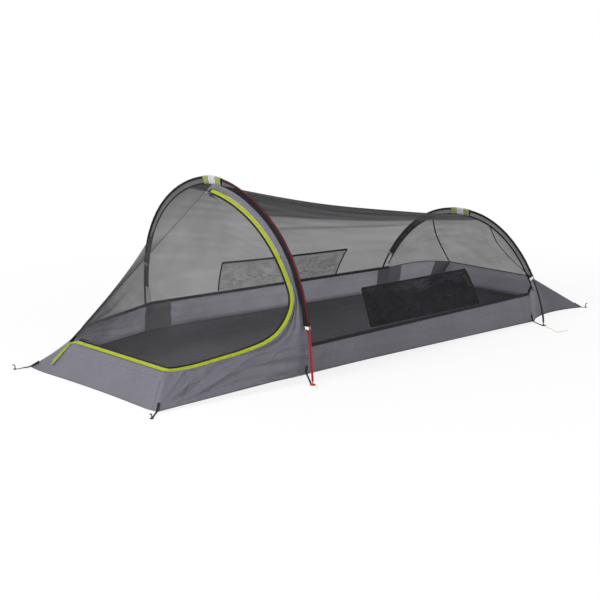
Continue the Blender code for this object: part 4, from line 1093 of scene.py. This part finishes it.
def make_door(patch, line):
    edge = line.offset(ZIP_EDGE)[::ZIP_POINTS]
    inner = line.offset(ZIP_EDGE + 0.015)[::ZIP_POINTS]
    door = []
    seams = np.linspace(0.06, 0.96, len(edge))
    for (u, v), seam, *strip in zip(line.places, seams, edge, inner):
        for part in (0.35, 0.57, 0.79, 1.0):
            strip.append(at_share(patch, u * (1 - part), v * (1 - part) + seam * part))
        door.append(strip)
    grid = fine_grid(np.array(door), 3, 14)
    grid = wrinkled(grid, (0.0028, bumpy(grid, 9, 6, 3.0, 11.0)))
    u, v = shares_of(grid)
    apex = np.linalg.norm(grid - FRONT.seam_point(HOOP_TOP), axis=2)
    corner = np.linalg.norm(grid - tub_corner("head_top", 1), axis=2)
    pleats = np.maximum(0.0, np.sin(v * 62.0 + 1.5 * np.sin(3.0 * u))) ** 8
    density = 0.03 * np.sin(u * 60.0 + 5.0 * v) ** 2 + 0.18 * hump(apex, 0.20)
    density += 0.48 * hump(1 - v, 0.24) * hump(corner, 0.36)
    density += 0.30 * pleats * hump(corner - 0.17, 0.10) * rising(v - 0.45, 0.2)
    soft(add_net("door_net", grid, density, (-1, -1, 1), "door_net"), "door_panel", "door")


def make_side_panel(patch, line):
    panel = [[at_share(patch, 0.0, 0.045 * part) for part in (0.0, 0.3, 0.6, 1.0)]]
    places = line.places[: line.down_count]
    for (u, v), outer in zip(places, line.offset(-ZIP_EDGE)[::ZIP_POINTS]):
        panel.append([*(at_share(patch, u, v * part) for part in (0.0, 0.3, 0.6)), outer])
    panel.append([at_share(patch, 1.0, places[-1][1] * part) for part in (0.0, 0.3, 0.6, 0.98)])
    grid = fine_grid(np.array(panel), 6, 5)
    u, v = shares_of(grid)
    low = rising(u - 0.62, 0.2)
    pulled = low * np.sin(v * 17.0 + u * 9.0) + 0.4 * np.sin(u * 70.0) * (1 - low) * np.sin(np.pi * v)
    grid = wrinkled(grid, (0.0028, pulled), (0.002, bumpy(grid, 14, 6, 3.0, 14.0)))
    if faces_way(grid, (-0.5, -1.0, 0.3)):
        grid = grid[:, ::-1]
    piece = add_sheet("side_panel", grid, "panel", np.ones(grid.shape[:2]), 0.0004, "wall_inside")
    soft(piece, "side_panel_near")


def make_tail(line):
    """Loose end of the zip: its two tapes side by side, sewn down the head wall."""
    top = tub_corner("head_top", 1)
    left = unit(tub_corner("head_top", -1) - top)
    down = unit(tub_corner("head_edge", 1) - top)
    outward = unit(np.cross(left, down))
    outward *= -np.sign(outward[0])
    start = top + left * 0.006 + down * 0.002 + outward * 0.0012
    down = unit(down * 0.100 + left * 0.050)
    aside = np.cross(down, outward)
    shares = np.linspace(0, 1, 9)[:, None]
    ripple = outward * (0.0009 * np.sin(np.linspace(0, 9, 9)) ** 2)[:, None]
    for number, (shift, beside, length) in enumerate(((-0.0040, -0.0037, 0.112), (0.0040, 0.0037, 0.102))):
        route = start + aside * shift * (1 + 0.25 * shares) + down * length * shares + ripple
        attach(add_band(f"zip_tail_{number + 1}", route, outward, 0.0052, 0.0010, "lime"), "zip_tail")
        turn = start + left * 0.006 + outward * 0.0004
        route = even_points([start, turn, line.offset(beside, 0.0004)[-1]], 8)
        attach(add_band(f"zip_turn_{number + 1}", route, outward, 0.0052, 0.0010, "lime"))
    bar = [start + down * 0.112 + aside * reach for reach in (0.006, 0.0, -0.006)]
    attach(add_band("tail_bar", bar, outward, 0.004, 0.0016, "lime_pale"))


# Hoops: poles, sleeves, patches and clips


def hairpin(radius, foot, leg):
    """A section round the pole and down to the seam, from one side to the other."""
    bend = math.acos(radius / foot) * 0.97
    top = arc(radius, bend, 2 * math.pi - bend, 14)
    middle = ((foot + top[0][0]) / 2, (leg + top[0][1]) / 2)
    return [(foot, leg), middle, *top, (middle[0], -middle[1]), (foot, -leg)]


def make_poles(kind, sections):
    hoop, body = HOOPS[kind], f"{kind}_hoop"
    joints = np.linspace(POLE_START, hoop.length - POLE_START, sections + 1)
    for number in range(sections):
        start, end = joints[number] + 0.0004, joints[number + 1]
        distances = [start, start + 0.0012, *np.linspace(start + 0.01, end - 0.01, 22), end - 0.0012, end]
        shrink = [0.90, *np.ones(len(distances) - 2), 0.90]
        finish = "red_pole" if kind == "front" and number < sections / 2 else "black_pole"
        pole = hoop.sweep(f"{kind}_pole_{number + 1}", distances, ring(POLE_RADIUS, 16), finish, shrink)
        attach(pole, f"{kind}_pole_section_{number + 1}", body)
    ball = [(-0.0035 * math.cos(t), 0.0035 * math.sin(t)) for t in np.radians([4, 25, 45, 65, 85, 105, 124])]
    shaft = [(0.0042, 0.0020), (0.0105, 0.0020), (0.0110, 0.0041)]
    collar = [(0.0115, POLE_RADIUS), (0.0185, POLE_RADIUS), (0.0190, 0.0040)]
    distances, radii = zip(*ball, *shaft, *collar)
    for name, foot, near in (("near", 0, 1), ("far", -1, -2)):
        base = hoop.stations[foot]
        along = unit(hoop.stations[near] - base)
        across = unit(np.cross(along, xyz(0.0, 1.0, 0.13)))
        route = [base + along * distance for distance in distances]
        finish = "red_pole" if kind == "front" and name == "near" else "steel"
        out = np.cross(along, across)
        tip = sweep(f"{kind}_tip_{name}", route, across, out, ring(1.0, 16), finish, radii)
        attach(tip, f"{kind}_pole_tip_{name}", body)


def make_sleeve(kind):
    hoop, body, front = HOOPS[kind], f"{kind}_hoop", kind == "front"
    start, below = (hoop.distance_at_height(height) for height in SLEEVE_ENDS[kind])
    end = hoop.length - below
    grid = hoop.sheet(np.linspace(start, end, 140), hairpin(SLEEVE_RADIUS, 0.0236, 0.0006))
    u, v = shares_of(grid)
    ripple = 0.0007 * np.sin(u * 160.0 + 4.0 * np.sin(u * 37.0)) * np.sin(np.pi * v) ** 2
    grid = grid + hoop.facing * ripple[:, :, None]
    density = 0.16 * np.sin(u * 260.0) ** 2 * np.sin(3.0 * np.pi * v) ** 2
    density += 0.4 * (1 - rising(np.minimum(u, 1 - u), 0.012))
    if front:
        density += rising(0.44 - u, 0.03) * (0.55 - 0.85 * rising(0.22 - np.abs(v - 0.5), 0.06))
        ends = [(2, end, hoop.length - 0.225, 0.0155, 0.0220)]
    else:
        density += 0.30 * rising(u - 0.72, 0.1)
        ends = [(2, end, hoop.length - 0.16, 0.0238, 0.0060), (0, 0.16, start, 0.0238, 0.0060)]
    piece = add_sheet(f"{kind}_sleeve", grid, "sleeve", density)
    attach(piece, f"{kind}_hoop_sleeve", body)
    route = hoop.beside(start, end, 110, 0.0242)
    attach(add_band(f"{kind}_seam_tape", route, hoop.facing, 0.0070, 0.0016, "binding"), body=body)
    for number, low, high, depth, width in ends:
        route = hoop.beside(low, high, 16, depth)
        band = add_band(f"{kind}_seam_end_{number}", route, hoop.facing, width, 0.0014, "binding")
        attach(band, body=body)


def make_apex_patches(kind):
    hoop = HOOPS[kind]
    for number, low, high, radius, material in (
        (1, -0.054, -0.0205, 0.0066, "lime_pale"),
        (2, -0.0205, 0.0205, 0.0069, "pale"),
        (3, 0.0205, 0.054, 0.0066, "lime_pale"),
    ):
        distances = hoop.length / 2 + np.linspace(low + 0.0002, high - 0.0002, 9)
        grid = hoop.sheet(distances, hairpin(radius, 0.0275, 0.0013))
        patch = add_sheet(f"{kind}_patch_{number}", grid, material, thick=CLOTH)
        attach(patch, f"{kind}_apex_patch", f"{kind}_hoop")


def make_clip(kind, far, name):
    """Moulded snap clip on the pole, with a tongue that is sewn to the canopy."""
    hoop, body = HOOPS[kind], f"{kind}_hoop"
    top = hoop.distance_at_height(SLEEVE_ENDS[kind][int(far)]) - 0.0006
    low = hoop.length - top if far else top - 0.012
    high = low + 0.012
    outer, reach = (0.0100, 0.0150) if far else (0.0064, 0.0115)
    mouth = math.radians(138)
    arm = math.asin(0.0014 / outer)
    tongue = [(reach, 0.0014), (reach + 0.0015, 0.0036), (reach + 0.0040, 0.0036)]
    outline = arc(outer, -mouth, -arm, 9) + [(x, -y) for x, y in tongue] + tongue[::-1]
    outline += arc(outer, arm, mouth, 9) + arc(0.0049, mouth, -mouth, 17)
    distances = [low, low + 0.0006, low + 0.006, high - 0.0006, high]
    clip = hoop.sweep(f"{kind}_clip_body_{name}", distances, outline, "white", [0.96, 1, 1, 1, 0.96])
    for face in clip.data.polygons:
        face.use_smooth = False
    attach(clip, f"{kind}_clip_{name}", body)
    route = hoop.beside(low + 0.002, high - 0.002, 3, 0.0215)
    attach(add_band(f"{kind}_clip_loop_{name}", route, hoop.facing, 0.008, 0.0012, "binding"), body=body)


# Fittings


def add_loop(name, centre, radius, width, thickness, material, node):
    """A tape lying in a ring on the ground."""
    turns = np.linspace(0, 2 * math.pi, 25)
    circle = centre + radius * np.stack([np.sin(turns), np.cos(turns), np.zeros(25)], axis=1)
    circle[:, 2] += 0.0010
    attach(add_band(name, circle, (0.0, 0.0, 1.0), width, thickness, material), node)


def make_strap(kind, side, name):
    hoop, node = HOOPS[kind], f"{kind}_strap_{name}"
    foot = xyz(hoop.foot[0], hoop.stations[-1 if side > 0 else 0][1], STRAP_LIFT)
    edge, top = tub_corner(f"{kind}_edge", side), tub_corner(f"{kind}_top", side)
    up_wall = unit((top - edge) * xyz(0.0, 1.0, 1.0))
    low = edge + xyz(0.0, side * up_wall[2], -side * up_wall[1]) * 0.0012
    low[0] = foot[0]
    route = even_points([foot - xyz(0.0, side * 0.0080, 0.0), low, low + up_wall * 0.030], 14)
    route[1:-1] = (route[:-2] + 2 * route[1:-1] + route[2:]) / 4
    route[:, 2] = np.maximum(route[:, 2], STRAP_LIFT)
    normals = unit(np.cross(tangents_of(route), xyz(1.0, 0.0, 0.0)))
    normals[normals @ xyz(0.0, side, 1.0) < 0] *= -1
    attach(add_band(f"{kind}_foot_strap_{name}", route, normals, 0.0088, 0.0011, "binding"), node)
    add_loop(f"{kind}_foot_loop_{name}", foot, 0.0082, 0.0066, 0.0036, "red", node)


def make_tab(end, side, name):
    """Peg tab: a strap off the corner, doubled into a ring, with the peg's head through it."""
    node = f"{end}_tab_{name}"
    centre = xyz(-1.275, side * 0.443, 0.0) if end == "head" else xyz(1.275, side * 0.418, 0.0)
    corner = tub_corner(f"{end}_edge", side)
    reach = corner - centre
    flat = unit(reach * xyz(1.0, 1.0, 0.0))
    up = unit(tub_corner(f"{end}_top", side) - corner)
    route = [
        centre + flat * 0.006 + xyz(0, 0, STRAP_LIFT),
        centre + reach * 0.55 + xyz(0, 0, 0.0008),
        corner - flat * 0.002 + xyz(0, 0, 0.0016),
        corner - flat * 0.0025 + up * 0.042,
    ]
    route = finer(np.array(route), 5)
    route[:, 2] = np.maximum(route[:, 2], STRAP_LIFT)
    normals = unit(np.cross(tangents_of(route), xyz(-flat[1], flat[0], 0.0)))
    normals[normals[:, 2] < 0] *= -1
    taper = np.linspace(0.8, 2.4 if end == "head" and side > 0 else 1.15, len(route))
    attach(add_band(f"{end}_strap_{name}", route, normals, 0.0085, 0.0012, "binding", taper), node)
    add_loop(f"{end}_ring_{name}", centre, 0.0056, 0.0044, 0.0018, "binding", node)

    outward = unit(centre * xyz(1.0, 0.5, 1.0))
    wire = [centre + xyz(0, 0, 0.0005), centre + xyz(0, 0, 0.006)]
    for x, z in arc(0.007, 0.0, math.radians(120), 13):
        wire.append(centre + (0.007 - x) * outward + xyz(0, 0, 0.012 + z))
    shrink = [*np.ones(len(wire) - 1), 0.6]
    peg = f"{end}_peg_{name}"
    attach(add_tube(f"{end}_peg_head_{name}", wire, 0.0020, "steel", outward, shrink), peg, peg)


def make_hook():
    top = FRONT.seam_point(HOOP_TOP) - xyz(0.0, 0.0, 0.0010)
    hole = top - xyz(0.0, 0.0, 0.010)
    eye = [hole + xyz(0.0, y, z) for z, y in arc(0.0033, 0.35, 2 * math.pi - 0.35, 21)]
    route = np.array([top + xyz(0, 0.0004, 0), *eye, top - xyz(0, 0.0004, 0)])
    normals = np.cross(np.gradient(route, axis=0), xyz(1.0, 0.0, 0.0))
    attach(add_band("hook_tape", route, normals, 0.0012, 0.0010, "binding"), "hook_loop", "front_hoop")
    radius, behind, shank, bend = 0.0021, 0.00385, 0.0255, 0.0085
    side = -behind - radius
    wire = [(behind, 0, 0), (0, 0, 0), (-behind, 0, 0), (side, 0, -radius), (side, 0, -shank)]
    wire += [(side, bend - y, -shank - z) for y, z in arc(bend, math.radians(15), math.radians(210), 14)]
    shrink = [*np.ones(len(wire) - 1), 0.6]
    hook = add_tube("hanging_hook", hole + np.array(wire), radius, "black", xyz(0.0, 1.0, 0.0), shrink)
    attach(hook, "lantern_hook", "hook")


def make_pockets(coarse):
    for side, name in SIDES:
        near = side < 0
        rows = []
        tops = np.linspace(0.094, 0.125, 7) if near else np.linspace(0.084, 0.116, 7)
        for along, top in zip(np.linspace(0.25, 0.745, 7), tops):
            strip = []
            for share, up in zip(np.linspace(0.0, 1.0, 5), np.linspace(0.006, top, 5)):
                lean = 0.014 * share * (1 - (along - 0.25) / 0.35) if near else 0.0
                inward = xyz(0.0, -side * (0.0008 + 0.012 * share), 0.0)
                strip.append(at_share(coarse, along + lean, up if near else 1 - up) + inward)
            rows.append(strip)
        grid = fine_grid(np.array(rows), 7, 7)
        grid = wrinkled(grid, (0.0035, bumpy(grid, 40 + side, 7, 6.0, 20.0)))
        u, v = shares_of(grid)
        weave = np.sin(v * 34.0 + 6.0 * np.sin(u * 9.0) + 3.0 * np.sin(u * 23.0 + 4.0 * v))
        weave *= np.sin(u * 52.0 + 9.0 * np.sin(v * 5.0)) * np.sin(np.pi * v) ** 0.5
        density = 0.20 * weave - 0.18 * hump(v - 0.72, 0.12) * hump(u - 0.42, 0.22) if near else 0.26 * weave
        pocket = f"pocket_{name}"
        soft(add_net(f"pocket_net_{name}", grid, density, (0, side, 0.2), pocket), pocket)
        inner = xyz(0.0, -side * 0.0012, 0.0)
        normals = unit(xyz(0.0, -side, 0.25))
        width = 0.0095 if near else 0.0085
        for number, route in enumerate((grid[:, -1], grid[0], grid[-1])):
            edge = f"pocket_edge_{name}_{number + 1}"
            soft(add_band(edge, route + inner, normals, width, 0.0010, "binding"))


def make_bindings():
    """Tape on the tub's top edges and along its ground seam."""
    for side, name in SIDES:
        route = corner_line("front_top", "rear_top", side, 24)
        if side < 0:
            rise = even_points([tub_corner("rear_top", side), REAR.seam_point(FIRST_SEAM_STEP)], 6)
            route = np.concatenate([route, rise[1:]])
        else:
            route = np.concatenate([even_points(finer(tub_top_route(side), 6), 20), route[1:]])
        edge = tub_edge_route(side) + xyz(0.0, side * 0.0008, 0.0004)
        edge[:, 2] = np.maximum(edge[:, 2], 0.0016)
        outward = unit(xyz(0.0, side, 0.12))
        outer, inner = route + outward * 0.0022, route - outward * 0.0009
        for tape, line, normals, width, thickness, material in (
            ("top_tape", outer, outward, 0.0135, 0.0012, "binding"),
            ("top_tape_in", inner, outward, 0.0105, 0.0012, "binding"),
            ("ground_seam", finer(edge, 3), (0.0, side, 0.35), 0.0034, 0.0010, "patch"),
            ("gusset_tape", gusset_top(side, 10), (0.3, side * 0.5, 1.0), 0.0070, 0.0012, "binding"),
        ):
            attach(add_band(f"{tape}_{name}", line, normals, width, thickness, material))
    foot = cross_line("foot_top", 12)
    attach(add_band("foot_tape", foot, (0.8, 0.0, 1.0), 0.0080, 0.0012, "binding"))
    out = xyz(-0.3, 0.6, 0.9)
    seam = door_seam_route(40)[1:] + unit(out) * 0.0008 + unit(xyz(0.68, 0.65, -0.21)) * 0.0022
    soft(add_band("door_seam_tape", seam, out, 0.0034, 0.0010, "binding"))


def dress_kept_nodes():
    """CAD nodes that stay as they are, with materials of the scene."""
    for name, material in (
        ("zip_slider", "alloy"),
        ("zip_bridge", "alloy"),
        ("zip_puller", "lime"),
        ("front_shock_cord", "cord_white"),
        ("rear_shock_cord", "cord_white"),
    ):
        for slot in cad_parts[name].material_slots:
            slot.material = MATERIALS[material]


def main():
    make_stage()
    make_cords()
    make_tub()
    canopy = middle_canopy_grid()
    make_middle_canopy(canopy)
    make_far_front()
    make_foot_net()
    patch = front_patch_grid()
    line = ZipLine(patch)
    make_zip(line)
    make_door(patch, line)
    make_side_panel(patch, line)
    make_tail(line)
    for kind, sections in (("front", 6), ("rear", 4)):
        make_poles(kind, sections)
        make_sleeve(kind)
        make_apex_patches(kind)
        for side, name in SIDES:
            make_clip(kind, side > 0, name)
            make_strap(kind, side, name)
    make_pockets(canopy)
    make_bindings()
    for side, name in SIDES:
        for end in ("head", "foot"):
            make_tab(end, side, name)
    make_hook()
    dress_kept_nodes()


main()
